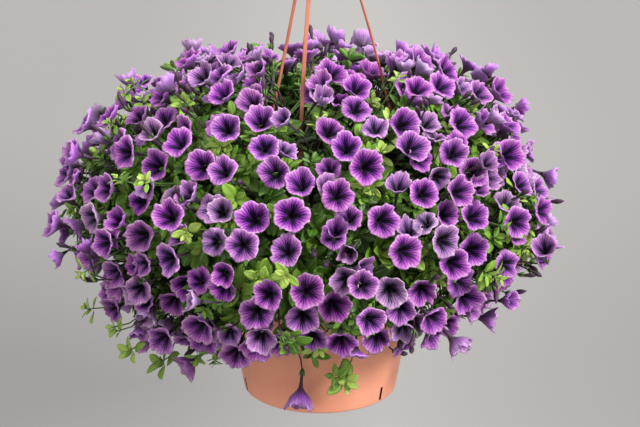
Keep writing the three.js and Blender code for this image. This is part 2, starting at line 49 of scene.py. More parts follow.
# ---------- Pot ----------
# A hanging pot of polypropylene, injection moulded in one shot with its flanged rim.  Three
# narrow drain slots stand low in the wall, and three more in the flange take the hanger's legs.
# Sizes are in millimetres over the middle of the pot's underside, azimuths in degrees from the
# front towards the viewer's right.
PIVOT = np.array([0, 0, 710])  # where the basket hangs, and the origin of the frame
POT_HEIGHT, POT_BASE, POT_TOP, POT_WALL, RIM_RADIUS, RIM_SKIRT = 165, 100, 128, 2, 135, 12
BASE_CORNER, COLUMN_TURN, SLIVER = 3.5, 3, 1e-6
DRAIN_AZIMUTHS, DRAIN_BOTTOM, DRAIN_TOP, DRAIN_WIDTH = (50, 170, -70), 4, 22.6, 4.4
LEG_AZIMUTHS, LEG_RADIUS, LEG_SLOT = (-10, 110, -130), 130.6, (3, 5.6)
UP = np.array([0, 0, 1.0])


def outward(azimuth):
    """Level unit vectors away from the pot's axis: (sin a, -cos a, 0)."""
    a = np.radians(azimuth)
    return np.stack([np.sin(a), -np.cos(a), np.zeros_like(a)], -1)


def wall_radius(height):
    """The pot's outer radius at a height: a straight taper from base to rim."""
    return POT_BASE + (POT_TOP - POT_BASE) * np.asarray(height) / POT_HEIGHT


def turned(profile, azimuths):
    """A profile of (radius, height) rows turned round the axis: point (i, j) is radius i along
    outward(azimuth j), at height i.  A first or last row of radius 0 is one point.  Rows that
    run up the outside give faces that point outwards."""
    profile, azimuths = np.array(profile, float), np.array(azimuths, float)
    rows, columns = len(profile), len(azimuths)
    grid = profile[:, None, :1] * outward(azimuths)[None] + UP * profile[:, None, 1:]
    index = np.arange(rows * columns).reshape(rows, columns)
    for end in (0, -1):
        if profile[end, 0] == 0:
            index[end] = index[end, 0]
    nxt = np.roll(index, -1, 1)
    quads = np.stack([index[:-1], nxt[:-1], nxt[1:], index[1:]], -1)
    return grid.reshape(-1, 3), index, quads


def tidy_faces(faces):
    """Quads with two like corners become triangles, marked by a -1 at the end."""
    faces = faces.reshape(-1, 4).copy()
    closed_start, closed_end = faces[:, 0] == faces[:, 1], faces[:, 2] == faces[:, 3]
    faces[closed_start] = np.c_[faces[closed_start][:, [0, 2, 3]], -np.ones(closed_start.sum())]
    faces[closed_end, 3] = -1
    return faces


def put_mesh(name, points, faces, looks, look_of_face=None, uv=None, values={}):
    """Makes an object of points in millimetres over the pot's underside.  Faces are rows of
    four corners, the last -1 for a triangle.  `uv` and `values` hold a row for each point."""
    used = np.zeros(len(points), bool)
    used[faces[faces >= 0]] = True
    renumbered = np.r_[np.cumsum(used) - 1, -1]
    faces = renumbered[faces]
    points = points[used]
    corners = faces[faces >= 0]
    mesh = bpy.data.meshes.new(name)
    mesh.vertices.add(len(points))
    mesh.vertices.foreach_set("co", ((points - PIVOT) / 1000).astype(np.float32).ravel())
    mesh.loops.add(len(corners))
    mesh.loops.foreach_set("vertex_index", corners.astype(np.int32))
    mesh.polygons.add(len(faces))
    starts = np.r_[0, np.cumsum((faces >= 0).sum(1))[:-1]]
    mesh.polygons.foreach_set("loop_start", starts.astype(np.int32))
    mesh.polygons.foreach_set("use_smooth", np.ones(len(faces), bool))
    if look_of_face is not None:
        mesh.polygons.foreach_set("material_index", look_of_face.astype(np.int32))
    for look in looks:
        mesh.materials.append(look)
    if uv is not None:
        mesh.uv_layers.new(name="surface").data.foreach_set("uv", uv[used][corners].ravel())
    for key, value in values.items():
        layer = mesh.attributes.new(key, "FLOAT", "POINT")
        layer.data.foreach_set("value", value[used].astype(np.float32))
    mesh.update(calc_edges=True)
    mesh.validate()
    made = bpy.data.objects.new(name, mesh)
    bpy.context.scene.collection.objects.link(made)
    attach(made, "root")
    return made


def linear(hex_colour):
    """An sRGB hex colour as linear values: c / 12.92, or past 0.04045
    ((c + 0.055) / 1.055)^2.4."""
    c = np.array([int(hex_colour[i:i + 2], 16) for i in (0, 2, 4)]) / 255
    return (*np.where(c > 0.04045, ((c + 0.055) / 1.055) ** 2.4, c / 12.92), 1)


def add_node(look, kind, given={}, out=0):
    """Adds a node to a material and returns one of its outputs.  `given` holds its inputs and
    properties, each a value or another node's output, with `stops` for the colours of a ramp
    as {place: hex colour}."""
    node = look.node_tree.nodes.new("ShaderNode" + kind)
    for key, value in given.items():
        if isinstance(value, bpy.types.NodeSocket):
            look.node_tree.links.new(value, node.inputs[key])
        elif key == "stops":
            ramp = node.color_ramp.elements
            while len(ramp) < len(value):
                ramp.new(1)
            for stop, (place, hex_colour) in zip(ramp, value.items()):
                stop.position, stop.color = place, linear(hex_colour)
        elif isinstance(key, int) or key in node.inputs:
            node.inputs[key].default_value = value
        else:
            setattr(node, key, value)
    return node.outputs[out] if node.outputs else None


def new_look(name):
    """An empty material."""
    look = bpy.data.materials.new(name)
    look.use_nodes = True
    look.node_tree.nodes.clear()
    return look


def moulded_plastic(name, stops, roughness):
    """Injection-moulded polypropylene: an even, faintly clouded colour with a soft gloss, and
    the shallow flow waves that a moulding has.  The grain, 1 mm wide, is coarser than life."""
    look = new_look(name)
    place = add_node(look, "TexCoord", out="Object")
    clouds = add_node(look, "TexNoise", {"Scale": 14, "Detail": 4, "Vector": place})
    grain = add_node(look, "TexNoise", {"Scale": 900, "Detail": 2, "Vector": place})
    flow = add_node(look, "Mapping", {"Scale": (9, 9, 2.5), "Vector": place})
    waves = add_node(look, "TexNoise", {"Scale": 3, "Detail": 2, "Vector": flow})
    gloss = {"To Min": roughness - 0.06, "To Max": roughness + 0.08, "Value": clouds}
    fine = add_node(look, "Bump", {"Strength": 0.05, "Distance": 0.0002, "Height": grain})
    broad = {"Strength": 0.12, "Distance": 0.002, "Height": waves, "Normal": fine}
    surface = add_node(look, "BsdfPrincipled", {
        "IOR": 1.49, "Roughness": add_node(look, "MapRange", gloss),
        "Base Color": add_node(look, "ValToRGB", {"stops": stops, "Fac": clouds}),
        "Normal": add_node(look, "Bump", broad),
    })
    add_node(look, "OutputMaterial", {"Surface": surface})
    return look


def pot_profile():
    """Up the outside from the middle of the underside, over the rim and down the inside."""
    under = POT_HEIGHT - POT_WALL
    slot_in, slot_out = LEG_RADIUS - LEG_SLOT[0] / 2, LEG_RADIUS + LEG_SLOT[0] / 2
    skirt = POT_HEIGHT - RIM_SKIRT
    bend = np.radians(np.array([0, 30, 60, 90]))
    corner = np.c_[POT_BASE - BASE_CORNER + 4 * np.sin(bend), BASE_CORNER * (1 - np.cos(bend))]
    outside = [(wall_radius(z), z) for z in (DRAIN_BOTTOM, DRAIN_TOP, 60, 100, 135, under - 2)]
    rim = [
        (wall_radius(under) + 0.6, under), (slot_in, under), (slot_out, under),
        (RIM_RADIUS - POT_WALL, under), (RIM_RADIUS - POT_WALL, skirt + 0.3),
        (RIM_RADIUS - 1.7, skirt), (RIM_RADIUS - 0.3, skirt), (RIM_RADIUS, skirt + 0.3),
        (RIM_RADIUS, POT_HEIGHT - 1.2), (RIM_RADIUS - 0.4, POT_HEIGHT - 0.4),
        (RIM_RADIUS - 1.2, POT_HEIGHT), (slot_out, POT_HEIGHT), (slot_in, POT_HEIGHT),
        (POT_TOP - 1, POT_HEIGHT), (POT_TOP - 1.7, POT_HEIGHT - 0.5),
        (POT_TOP - 2, POT_HEIGHT - 1.4),
    ]
    inside = [(wall_radius(z) - POT_WALL, z) for z in (135, 100, 60, DRAIN_TOP, DRAIN_BOTTOM)]
    floor = [(97.2, 2.4), (95, 2), (60, 2), (0, 2)]
    return [(0, 0), (60, 0), (90, 0), *corner, *outside, *rim, *inside, *floor]


profile = pot_profile()
heights = np.array(profile)[:, 1]
radii = np.array(profile)[:, 0]
drain_turn = np.degrees(DRAIN_WIDTH / 2 / wall_radius(13))
leg_turn = np.degrees(LEG_SLOT[1] / 2 / LEG_RADIUS)
edges = [a + s * drain_turn for a in DRAIN_AZIMUTHS for s in (-1, 1)]
edges += [a + s * leg_turn for a in LEG_AZIMUTHS for s in (-1, 1)]
azimuths = np.sort(np.r_[np.arange(-178.5, 180, COLUMN_TURN), edges])
points, index, quads = turned(profile, azimuths)
kept = np.ones(quads.shape[:2], bool)
walls = []
drain_rows = np.flatnonzero(np.isin(heights, (DRAIN_BOTTOM, DRAIN_TOP)))
leg_rows = np.flatnonzero(np.isclose(abs(radii - LEG_RADIUS), LEG_SLOT[0] / 2))
windows = [(a, drain_turn, drain_rows) for a in DRAIN_AZIMUTHS]
windows += [(a, leg_turn, leg_rows) for a in LEG_AZIMUTHS]
for azimuth, turn, (out_low, out_high, in_high, in_low) in windows:
    first, last = np.searchsorted(azimuths, [azimuth - turn - SLIVER, azimuth + turn - SLIVER])
    kept[[out_low, in_high], first:last] = False
    corners = [corner for c in range(first, last) for corner in (
        (out_low, c), (out_low, c + 1), (in_low, c + 1), (in_low, c),
        (out_high, c + 1), (out_high, c), (in_high, c), (in_high, c + 1))]
    corners += [(row, first) for row in (out_high, out_low, in_low, in_high)]
    corners += [(row, last) for row in (out_low, out_high, in_high, in_low)]
    corners = np.array(corners).reshape(-1, 4, 2)
    walls.append(index[corners[..., 0], corners[..., 1]])
faces = tidy_faces(np.concatenate([quads[kept], *walls]))
terracotta = moulded_plastic(
    "moulded_polypropylene", {0.35: "d58a6b", 0.5: "db9072", 0.68: "df9779"}, 0.44
)
# The walls of the drain and leg slots get a near-black copy of the same plastic: painted shade for
# the shade inside the slots.
slot_painted_shade = moulded_plastic(
    "moulded_polypropylene_slot_painted_shade", {0.35: "2c120b", 0.5: "34160e", 0.68: "3a1a11"}, 0.5
)
painted_shade_faces = np.arange(len(faces)) >= kept.sum()
pot = put_mesh("hanging_pot", points, faces, [terracotta, slot_painted_shade], painted_shade_faces)
pot.data.set_sharp_from_angle(angle=np.radians(40))
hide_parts("pot")

# ---------- Potting soil ----------
# Peat and composted bark, loosely filled and settled by watering, a finger below the rim.
# Matt, nearly black when moist, with paler crumbs.
SOIL_BOTTOM, SOIL_EDGE, SOIL_CROWN, SOIL_GAP = 2.4, 150, 154, 0.4
soil_rings = np.linspace(1, 0, 26)[1:]
soil_wall = [(wall_radius(z) - POT_WALL - SOIL_GAP, z)
             for z in (SOIL_BOTTOM, 50, 100, 146, SOIL_EDGE)]
soil_top = [(r * soil_wall[-1][0], SOIL_CROWN - (SOIL_CROWN - SOIL_EDGE) * r * r)
            for r in soil_rings]
points, _, quads = turned([(0, SOIL_BOTTOM), *soil_wall, *soil_top], np.arange(0, 360, 3))
crumbs = np.random.default_rng(4).normal(0, 1, (len(points), 3)) * [0.9, 0.9, 1.3]
on_top = (points[:, 2] > SOIL_EDGE - 0.01) & (np.hypot(*points[:, :2].T) < 122)
points += crumbs * on_top[:, None]
peat = new_look("moist_peat")
place = add_node(peat, "TexCoord", out="Object")
lumps = add_node(peat, "TexVoronoi", {"Scale": 260, "Vector": place})
fibre = add_node(peat, "TexNoise", {"Scale": 500, "Detail": 6, "Vector": place})
browns = {0.3: "140d09", 0.55: "2c1e15", 0.8: "54402c"}
surface = add_node(peat, "BsdfPrincipled", {
    "Roughness": 0.95, "Base Color": add_node(peat, "ValToRGB", {"stops": browns, "Fac": fibre}),
    "Normal": add_node(peat, "Bump", {"Strength": 0.8, "Distance": 0.002, "Height": lumps}),
})
add_node(peat, "OutputMaterial", {"Surface": surface})
soil = put_mesh("peat_compost", points, tidy_faces(quads), [peat])
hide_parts("potting_soil")

# ---------- Hanger ----------
# Three slim legs of the same plastic, moulded as flat strips with rounded edges.  Each snaps
# through the rim by a barb and is held at the top in a socket of the head.  The head is one
# moulding with its hook.  A bow is an azimuth, and how far it bends outwards and sideways.
HEAD_BOTTOM, HEAD_TOP, HEAD_RADIUS, SOCKET_RADIUS = 646, 664, 15, 8.5
HOOK_ROD, HOOK_BOWL, LEG_TIP = 5, 28, 0.3
LEG_ENDS = 661, 640, POT_HEIGHT + 8, 151  # in the head, below it, over the rim and under it
LEG_BOWS = {"front": (-10, 0, -9.5), "right": (110, 15, 0), "left": (-130, -3, 0)}


def sideways(azimuth):
    """Level unit vectors round the pot: (cos a, sin a, 0)."""
    a = np.radians(azimuth)
    return np.stack([np.cos(a), np.sin(a), np.zeros_like(a)], -1)


def leg_path(azimuth, bow_out, bow_side, steps):
    """From the head down to the rim: a straight line that bows by sin(pi t), with a short
    upright piece at each end."""
    out, side = outward(azimuth), sideways(azimuth)
    t = np.linspace(0, 1, steps + 1)[:, None]
    top, foot = SOCKET_RADIUS * out + LEG_ENDS[1] * UP, LEG_RADIUS * out + LEG_ENDS[2] * UP
    line = top + (foot - top) * t + (bow_out * out + bow_side * side) * np.sin(np.pi * t)
    return np.r_[[SOCKET_RADIUS * out + LEG_ENDS[0] * UP], line,
                 [LEG_RADIUS * out + LEG_ENDS[3] * UP]]


def unit(vectors):
    """Vectors scaled to length 1."""
    return vectors / np.maximum(np.linalg.norm(vectors, axis=-1, keepdims=True), 1e-9)


def ring_faces(rings, sides, copies=1):
    """Faces of closed tubes: rows of rings with a point at each end, for so many copies.  Points
    are numbered copy by copy: first tip, rings, last tip."""
    row = 1 + np.arange(rings * sides).reshape(rings, sides)
    grid = np.r_[np.zeros((1, sides), int), row, np.full((1, sides), rings * sides + 1)]
    nxt = np.roll(grid, -1, 1)
    one = tidy_faces(np.stack([grid[:-1], nxt[:-1], nxt[1:], grid[1:]], -1))
    many = one[None] + (rings * sides + 2) * np.arange(copies)[:, None, None]
    return np.where(one[None] < 0, -1, many).reshape(-1, 4)


def tubes(paths, radii, sides):
    """Round tubes along paths (copies, steps, 3), the radius given for each step.  Each ring is
    the path's point plus radius (cos t u + sin t v), with u and v across the path a there.  From
    step to step v is carried on without a twist: v - (v . a) a, made a unit again."""
    paths = np.asarray(paths, float)
    radii = np.broadcast_to(radii, paths.shape[:2])
    along = unit(np.gradient(paths, axis=1))
    carried = [unit(np.cross(along[:, 0], np.eye(3)[np.abs(along[:, 0]).argmin(1)]))]
    for step in range(1, paths.shape[1]):
        on = (carried[-1] * along[:, step]).sum(-1, keepdims=True)
        carried.append(unit(carried[-1] - on * along[:, step]))
    v = np.stack(carried, 1)
    u = np.cross(v, along)
    t = 2 * np.pi * np.arange(sides) / sides
    ring = np.cos(t)[:, None] * u[:, :, None] + np.sin(t)[:, None] * v[:, :, None]
    points = paths[:, :, None] + radii[:, :, None, None] * ring
    copies, steps = paths.shape[:2]
    ends = [paths[:, :1] - along[:, :1] * radii[:, :1, None] * 0.4,
            paths[:, -1:] + along[:, -1:] * radii[:, -1:, None] * 0.4]
    points = np.concatenate([ends[0], points.reshape(copies, steps * sides, 3), ends[1]], 1)
    return points.reshape(-1, 3), ring_faces(steps, sides, copies)


def joined(*meshes):
    """Several (points, faces) as one, each numbered after the one before."""
    starts = np.cumsum([0] + [len(points) for points, _ in meshes])
    moved = [np.where(faces < 0, -1, faces + s) for (_, faces), s in zip(meshes, starts)]
    return np.concatenate([points for points, _ in meshes]), np.concatenate(moved)


def smooth_path(points, steps):
    """A Catmull-Rom curve through points, with so many steps between each two."""
    p = np.r_[[2 * points[0] - points[1]], points, [2 * points[-1] - points[-2]]]
    t = (np.arange(steps) / steps)[:, None]
    a, b, c, d = (p[k:len(p) - 3 + k][:, None] for k in range(4))
    curve = b + 0.5 * t * ((c - a) + t * ((2 * a - 5 * b + 4 * c - d)
                                          + t * (3 * b - a - 3 * c + d)))
    return np.r_[curve.reshape(-1, 3), points[-1:]]


hanger_plastic = moulded_plastic(
    "moulded_polypropylene_hanger", {0.35: "ab624a", 0.5: "ba7056", 0.68: "c27c62"}, 0.42
)
quarter = np.array([(2.5, 0.5), (2.1, 1.0), (1.4, 1.2)])
section = np.r_[quarter, quarter[::-1] * [-1, 1], -quarter, quarter[::-1] * [1, -1]]
for leg, (azimuth, bow_out, bow_side) in LEG_BOWS.items():
    path = leg_path(azimuth, bow_out, bow_side, 28)
    end = path[-1] * [1, 1, 0]
    path = np.r_[path[:-1], [end + [0, 0, z] for z in (157, 156, 155.8, 154.5, 151)]]
    width = np.ones(len(path))
    width[-3:] = 1.6, 1.5, 1.0  # the barb under the rim
    side = np.broadcast_to(sideways(azimuth), path.shape)
    depth = unit(np.cross(np.gradient(path, axis=0), side))
    across = width[:, None, None] * section[:, :1] * side[:, None]
    points = path[:, None] + across + section[:, 1:] * depth[:, None]
    tip = [0, 0, LEG_TIP]  # how far its closed ends stand out
    points = np.r_[path[:1] + tip, points.reshape(-1, 3), path[-1:] - tip]
    strip = put_mesh("leg_" + leg, points, ring_faces(len(path), len(section)), [hanger_plastic])
    strip.data.set_sharp_from_angle(angle=np.radians(50))
    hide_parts("hanger_leg_" + leg)

knob = [
    (0, HEAD_BOTTOM), (13, HEAD_BOTTOM), (14.4, HEAD_BOTTOM + 0.4),
    (HEAD_RADIUS, HEAD_BOTTOM + 1.6), (HEAD_RADIUS, 658), (14.7, 660), (13.8, 661.8), (12.4, 663),
    (9, 663.7), (5, 664.2), (3.6, 666), (3, 669), (2.8, 672), (0, 672),
]
points, _, quads = turned(knob, np.arange(0, 360, 7.5))
arc = (HOOK_BOWL + HOOK_ROD) / 2
centre = PIVOT[2] - HOOK_BOWL / 2
bends = np.radians(np.arange(-12, 193, 20.4))
route = [(0, HEAD_TOP - 2), (0, HEAD_TOP + 5), (arc * 0.35, HEAD_TOP + 13),
         (arc * 0.8, centre - arc * 0.6),
         *zip(arc * np.cos(bends), centre + arc * np.sin(bends)),
         (-arc * 1.06, centre - arc * 0.5)]
rod = smooth_path(np.array([(x, 0, z) for x, z in route]), 4)
thick = np.full(len(rod), HOOK_ROD / 2)
thick[-2:] = 2.3, 1.6
hook = put_mesh(
    "hook_and_head", *joined((points, tidy_faces(quads)), tubes([rod], thick, 16)),
    [hanger_plastic]
)
hook.data.set_sharp_from_angle(angle=np.radians(50))
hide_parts("hanger_hook")

# ---------- How the plant grows ----------
# Many shoots rise from the soil and arch over the rim into one wide mound.  Blooms and tufts of
# leaves end on its surface, spread by the same seeded draws as the solid model's, so that each
# fine bloom stands in its place.
MOUND_CENTRE, MOUND_RADIUS, MOUND_RISE, MOUND_DROP = 235, 310, 230, 215
MOUND_LEFTWARD, MOUND_DRAW_IN = 17, 0.3
HOLLOW, HOLLOW_RADIUS, LUMP = 45, 115, 9
SPRAY_COUNT, SPRAY_TURN, SPRAY_REACH = 24, 20, 0.6
LEAFY_COUNT, LEAFY_TURN, LEAFY_REACH = 22, 95, 0.7
GOLDEN_TURN, SHOOT_FROM_LEG = 137.508, 12
BLOOM_SIZE, TUBE_LENGTH, DARTS, DRAWS_PER_DART, SEED = 49, 34, 5200, 11, 45
SPACING_IN_FRONT, SPACING_AT_BACK = 32.5, 45
# Seeded ranges, each as its start and length: level, spacing, size and height over the mound.
LEVELS, CROWDS, SIZES, LIFTS = (-0.72, 1.715), (0.85, 0.55), (0.84, 0.19), (-22, 34)
RIM_GAP, FACE_DEPTH = 1.5, 6  # kept between one bloom's rim and another's face
LEAN_UP, LEAN_OUTWARD, LEAN_FRONT, WOBBLE = 0.12, 0.55, 0.3, 0.6
FROM_LEGS, FROM_POT, OVER_RIM, BELOW_RIM = 5, 4, 4, 16
# The mound's lowest level, and its changes: azimuth, width and how much.
LOWEST, LOWEST_CHANGES = -0.56, [(0, 38, 0.15), (-66, 26, -0.14), (85, 40, 0.08)]
# Shoots: their levels in the mound (start and length), how far out they stand in the soil and
# how much less the highest do, how deep they are in it, the height on the axis that they lean
# out from, and from where and how far along they carry stalks.
SHOOT_LEVELS, SHOOT_FEET, SHOOT_DEPTH, SHOOT_FORK = (-0.42, 1.35), (98, 82), 19, 200
STALKS_FROM, STALKS_OVER = 0.5, 0.485
# Someone in front sees the legs over the growth, down to these heights: front, right, left.
EYE, LEGS_SEEN_TO, LEG_PARTS, BESIDE_LEG = np.array([0, -2100, 900]), (343, 376, 375), 4, 3
# What hangs lower than the mound: azimuth, radius, height and how much it faces down.
HANGING_BLOOMS = [(-10.5, 137, 38, 2), (-59, 195, 67, 0.5), (-75, 231, 88, 0.2),
                  (60, 199, 95, 0.7)]
HANGING_TUFTS = [(10, 141, 68, 0.6), (-2, 140, 98, 0.6), (-57, 176, 58, 0.5),
                 (-66, 214, 62, 0.4)]
TRAILING_TIPS = [(-70, 297, 145, -0.5), (-66, 270, 120, -0.5), (-64, 255, 97, -0.5),
                 (-74, 315, 170, -0.5)]


def seeded_draws(seed, count):
    """Even draws from 0 to 1: a counter stepped by a fixed odd number, its bits mixed twice."""
    mask = np.uint64(0xFFFFFFFF)
    state = (seed + 0x6D2B79F5 * np.arange(1, count + 1, dtype=np.uint64)) & mask
    mixed = ((state ^ (state >> 15)) * (state | 1)) & mask
    mixed ^= (mixed + (((mixed ^ (mixed >> 7)) * (mixed | 61)) & mask)) & mask
    return (mixed ^ (mixed >> 14)) / 2.0**32


def at(azimuth, radius, height):
    """The point that far out from the axis, at that height."""
    return outward(azimuth) * np.asarray(radius)[..., None] + UP * np.asarray(height)[..., None]


def turn_between(start, end):
    """The turn from one azimuth to another, from -180 to 180."""
    return (end - start + 540) % 360 - 180


def mound_at(azimuth, level):
    """A point of the mound, level -1 its lowest and 1 its top: an ellipsoid that is drawn in
    below, with two slow waves round it and a dent at the top, where the hanger stands."""
    a = np.radians(azimuth)
    swell = np.sin(3 * a + 1) + np.sin(5 * a + 2 + 3 * level)
    reach = MOUND_RADIUS + LUMP * swell - MOUND_LEFTWARD * (1 - level) * np.sin(a)
    reach = reach * (1 + MOUND_DRAW_IN * np.minimum(0, level))
    radius = reach * np.sqrt(1 - level * level)
    dip = HOLLOW * np.exp(-((radius / HOLLOW_RADIUS) ** 2))
    height = np.where(level > 0, MOUND_RISE * level - dip, MOUND_DROP * level)
    return at(azimuth, radius, MOUND_CENTRE + height)


def mound_facing(azimuth, level):
    """The way that the mound faces there: the ellipsoid's normal."""
    flat = np.sqrt(1 - level * level) / MOUND_RADIUS
    return unit(outward(azimuth) * flat[..., None] + UP * (level / MOUND_RISE)[..., None])


def lowest_level(azimuth):
    """How low the mound hangs: highest over the front of the pot, lowest at the front left.
    Each change fades by exp(-(turn / width)^2)."""
    level = LOWEST
    for middle, width, change in LOWEST_CHANGES:
        level = level + change * np.exp(-((turn_between(middle, azimuth) / width) ** 2))
    return level


leg_paths = [leg_path(*bow, 8) for bow in LEG_BOWS.values()]
leg_starts = np.concatenate([p[:-1] for p in leg_paths])
leg_steps = np.concatenate([np.diff(p, axis=0) for p in leg_paths])
leg_parts = np.arange(LEG_PARTS)[:, None] / LEG_PARTS
seen_of_legs = leg_starts[:, None] + leg_parts * leg_steps[:, None]
seen_down_to = np.repeat(LEGS_SEEN_TO, [len(p) - 1 for p in leg_paths])
seen_of_legs = seen_of_legs[seen_of_legs[..., 2] > seen_down_to[:, None]]


def leg_distance(points):
    """How far points are from the nearest leg, taken as straight pieces."""
    gap = points[..., None, :] - leg_starts
    t = np.clip((gap * leg_steps).sum(-1) / (leg_steps**2).sum(-1), 0, 1)
    return np.linalg.norm(gap - t[..., None] * leg_steps, axis=-1).min(-1)


def hides_leg(centre, facing, radius):
    """Whether discs would hide a leg from someone in front: the sight line from a point p of a
    leg to the eye meets the disc's plane at p + t (eye - p)."""
    sight = EYE - seen_of_legs
    rise = (centre[:, None] - seen_of_legs) @ facing[..., None]
    t = rise[..., 0] / (sight * facing[:, None]).sum(-1)
    missed = np.linalg.norm(seen_of_legs + t[..., None] * sight - centre[:, None], axis=-1)
    return ((t > 0) & (missed < np.asarray(radius)[:, None] + BESIDE_LEG)).any(1)


def bloom_axes(facing, turn):
    """Each bloom's own directions: across it at its first lobe, across at right angles, and out
    of its face.  The first is level before it is turned about the face."""
    level_way = unit(np.cross(UP, facing))
    other = np.cross(facing, level_way)
    c, s = np.cos(np.radians(turn))[..., None], np.sin(np.radians(turn))[..., None]
    return c * level_way + s * other, c * other - s * level_way


def outlines(centre, facing, size):
    """Eight points of each bloom's rim and three along its tube."""
    edge = np.radians(np.arange(0, 360, 45))[:, None]
    across, other = bloom_axes(facing, np.zeros(len(centre)))
    rim = np.cos(edge) * across[:, None] + np.sin(edge) * other[:, None]
    tube = -facing[:, None] * TUBE_LENGTH * np.array([0, 0.5, 1])[:, None]
    return centre[:, None] + np.concatenate([rim * size[:, None, None], tube], 1)


def in_face(points, centre, facing, size, gap):
    """Whether points lie in the disc of a bloom's face or within a gap of it."""
    gone = points - centre
    height = (gone * facing).sum(-1)
    radius = np.linalg.norm(gone - height[..., None] * facing, axis=-1)
    return (abs(height + FACE_DEPTH / 2) < FACE_DEPTH / 2 + gap) & (radius < size + gap)


def scatter_blooms():
    """Blooms on the mound, each taken if it is clear of those before it and of the legs."""
    d = seeded_draws(SEED, DARTS * DRAWS_PER_DART).reshape(DARTS, DRAWS_PER_DART)
    azimuth, level = 360 * d[:, 0] - 180, LEVELS[0] + LEVELS[1] * d[:, 1]
    behind = 0.5 - 0.5 * np.cos(np.radians(azimuth))
    crowd = SPACING_IN_FRONT + (SPACING_AT_BACK - SPACING_IN_FRONT) * behind
    crowd *= CROWDS[0] + CROWDS[1] * d[:, 3]
    size = BLOOM_SIZE / 2 * (SIZES[0] + SIZES[1] * d[:, 8])
    flatness = (MOUND_RISE / MOUND_RADIUS) ** 2
    slope = np.sqrt(flatness + (1 - flatness) * level**2)
    site, facing = mound_at(azimuth, level), mound_facing(azimuth, level)
    centre = site + facing * (LIFTS[0] + LIFTS[1] * d[:, 4])[:, None]
    facing = facing + LEAN_UP * UP + WOBBLE * (d[:, 5:8] - 0.5)
    facing += LEAN_OUTWARD * np.maximum(0, level)[:, None] * outward(azimuth)
    facing = unit(facing + LEAN_FRONT * outward(0))
    outline = outlines(centre, facing, size)
    clear = (leg_distance(outline).min(1) > FROM_LEGS) & ~hides_leg(centre, facing, size)
    possible = (d[:, 2] <= slope) & (level >= lowest_level(azimuth)) & clear
    taken = []
    for k in np.flatnonzero(possible):
        if taken and np.linalg.norm(site[taken] - site[k], axis=1).min() < crowd[k]:
            continue
        gap = np.linalg.norm(centre[taken] - centre[k], axis=1)
        near = np.array(taken, int)[gap < size[taken] + size[k] + RIM_GAP]
        in_mine = in_face(outline[near], centre[k], facing[k], size[k], RIM_GAP)
        in_theirs = in_face(outline[k], centre[near, None], facing[near, None],
                            size[near, None], RIM_GAP)
        if not in_mine.any() and not in_theirs.any():
            taken.append(k)
    return centre[taken], facing[taken], size[taken], 72 * d[taken, 9], d[taken, 10]


def hanging(places):
    """What hangs below the mound: where it is, and the outward and downward way it faces."""
    azimuth, radius, height, down = np.array(places, float).T
    return at(azimuth, radius, height), unit(outward(azimuth) - UP * down[:, None])


def fan(count, first_turn):
    """Directions of a family of shoots by the golden angle, each kept beside the legs, and the
    levels of the mound that they reach, from low to high."""
    k = np.arange(count)
    azimuth = (k * GOLDEN_TURN + first_turn) % 360 - 180
    for leg in LEG_AZIMUTHS:
        turn = turn_between(leg, azimuth)
        beside = leg + np.where(turn < 0, -SHOOT_FROM_LEG, SHOOT_FROM_LEG)
        azimuth = np.where(abs(turn) < SHOOT_FROM_LEG, beside, azimuth)
    return azimuth, SHOOT_LEVELS[0] + SHOOT_LEVELS[1] * (k + 0.5) / count


def shoot(azimuth, level, reach, steps):
    """A shoot: upright in the soil, then one Bezier curve from its collar out into the mound.
    Low shoots stand near the pot's wall and arch over the rim, high ones stand in the middle."""
    in_mound = (1 - reach) * SHOOT_FORK * UP + reach * mound_at(azimuth, level)
    foot_radius = SHOOT_FEET[0] - SHOOT_FEET[1] * (level + 0.55) / 1.5
    out = outward(azimuth)
    collar = at(azimuth, foot_radius, SOIL_CROWN + 4)
    ways = [collar, collar + 50 * UP + 4 * out,
            in_mound - 30 * out + (45 - 105 * max(0, level)) * UP, in_mound]
    t = np.linspace(0, 1, steps + 1)[:, None]
    bend = [(1 - t) ** 3, 3 * t * (1 - t) ** 2, 3 * t * t * (1 - t), t**3]
    curve = sum(b * way for b, way in zip(bend, ways))
    return np.r_[[at(azimuth, foot_radius, SOIL_EDGE - SHOOT_DEPTH)], curve]


def on_path(path, t):
    """The points at fractions t of a path's length."""
    length = np.r_[0, np.cumsum(np.linalg.norm(np.diff(path, axis=0), axis=1))]
    return np.stack([np.interp(t * length[-1], length, path[:, k]) for k in range(3)], -1)


def carried_by(family, centres, tips):
    """Which shoot each thing grows on, and where on it: the shoot whose end in the mound is
    nearest, and in order from its middle to its tip."""
    ends = mound_at(*family)
    owner = np.linalg.norm(centres[:, None] - ends, axis=2).argmin(1)
    along = np.zeros(len(centres))
    for k, tip in enumerate(tips):
        own = np.flatnonzero(owner == k)
        order = own[np.argsort(-np.linalg.norm(centres[own] - tip, axis=1), kind="stable")]
        share = np.linspace(0, 1, len(own)) if len(own) > 1 else 1
        along[order] = STALKS_FROM + STALKS_OVER * share
    return owner, along


def is_free(points):
    """Whether points are clear of the legs and outside the pot's wall and rim."""
    radius, height = np.hypot(points[..., 0], points[..., 1]), points[..., 2]
    holder = np.where(height > POT_HEIGHT - BELOW_RIM, RIM_RADIUS, wall_radius(height))
    over = height > POT_HEIGHT + OVER_RIM
    return (leg_distance(points) > FROM_LEGS) & (over | (radius > holder + FROM_POT))


def stalk_root(path, along, end):
    """Where a stalk leaves its shoot: its own place, or the nearest that leaves it a free run."""
    for shift in (0, -0.05, 0.05, -0.1, 0.1, -0.2, 0.2, -0.3, 0.3, 0.4, 0.5):
        root = on_path(path, np.clip(along + shift, 0.3, 0.985))
        if is_free(root + (end - root) * np.linspace(0, 1, 25)[:, None]).all():
            return root
    return on_path(path, along)


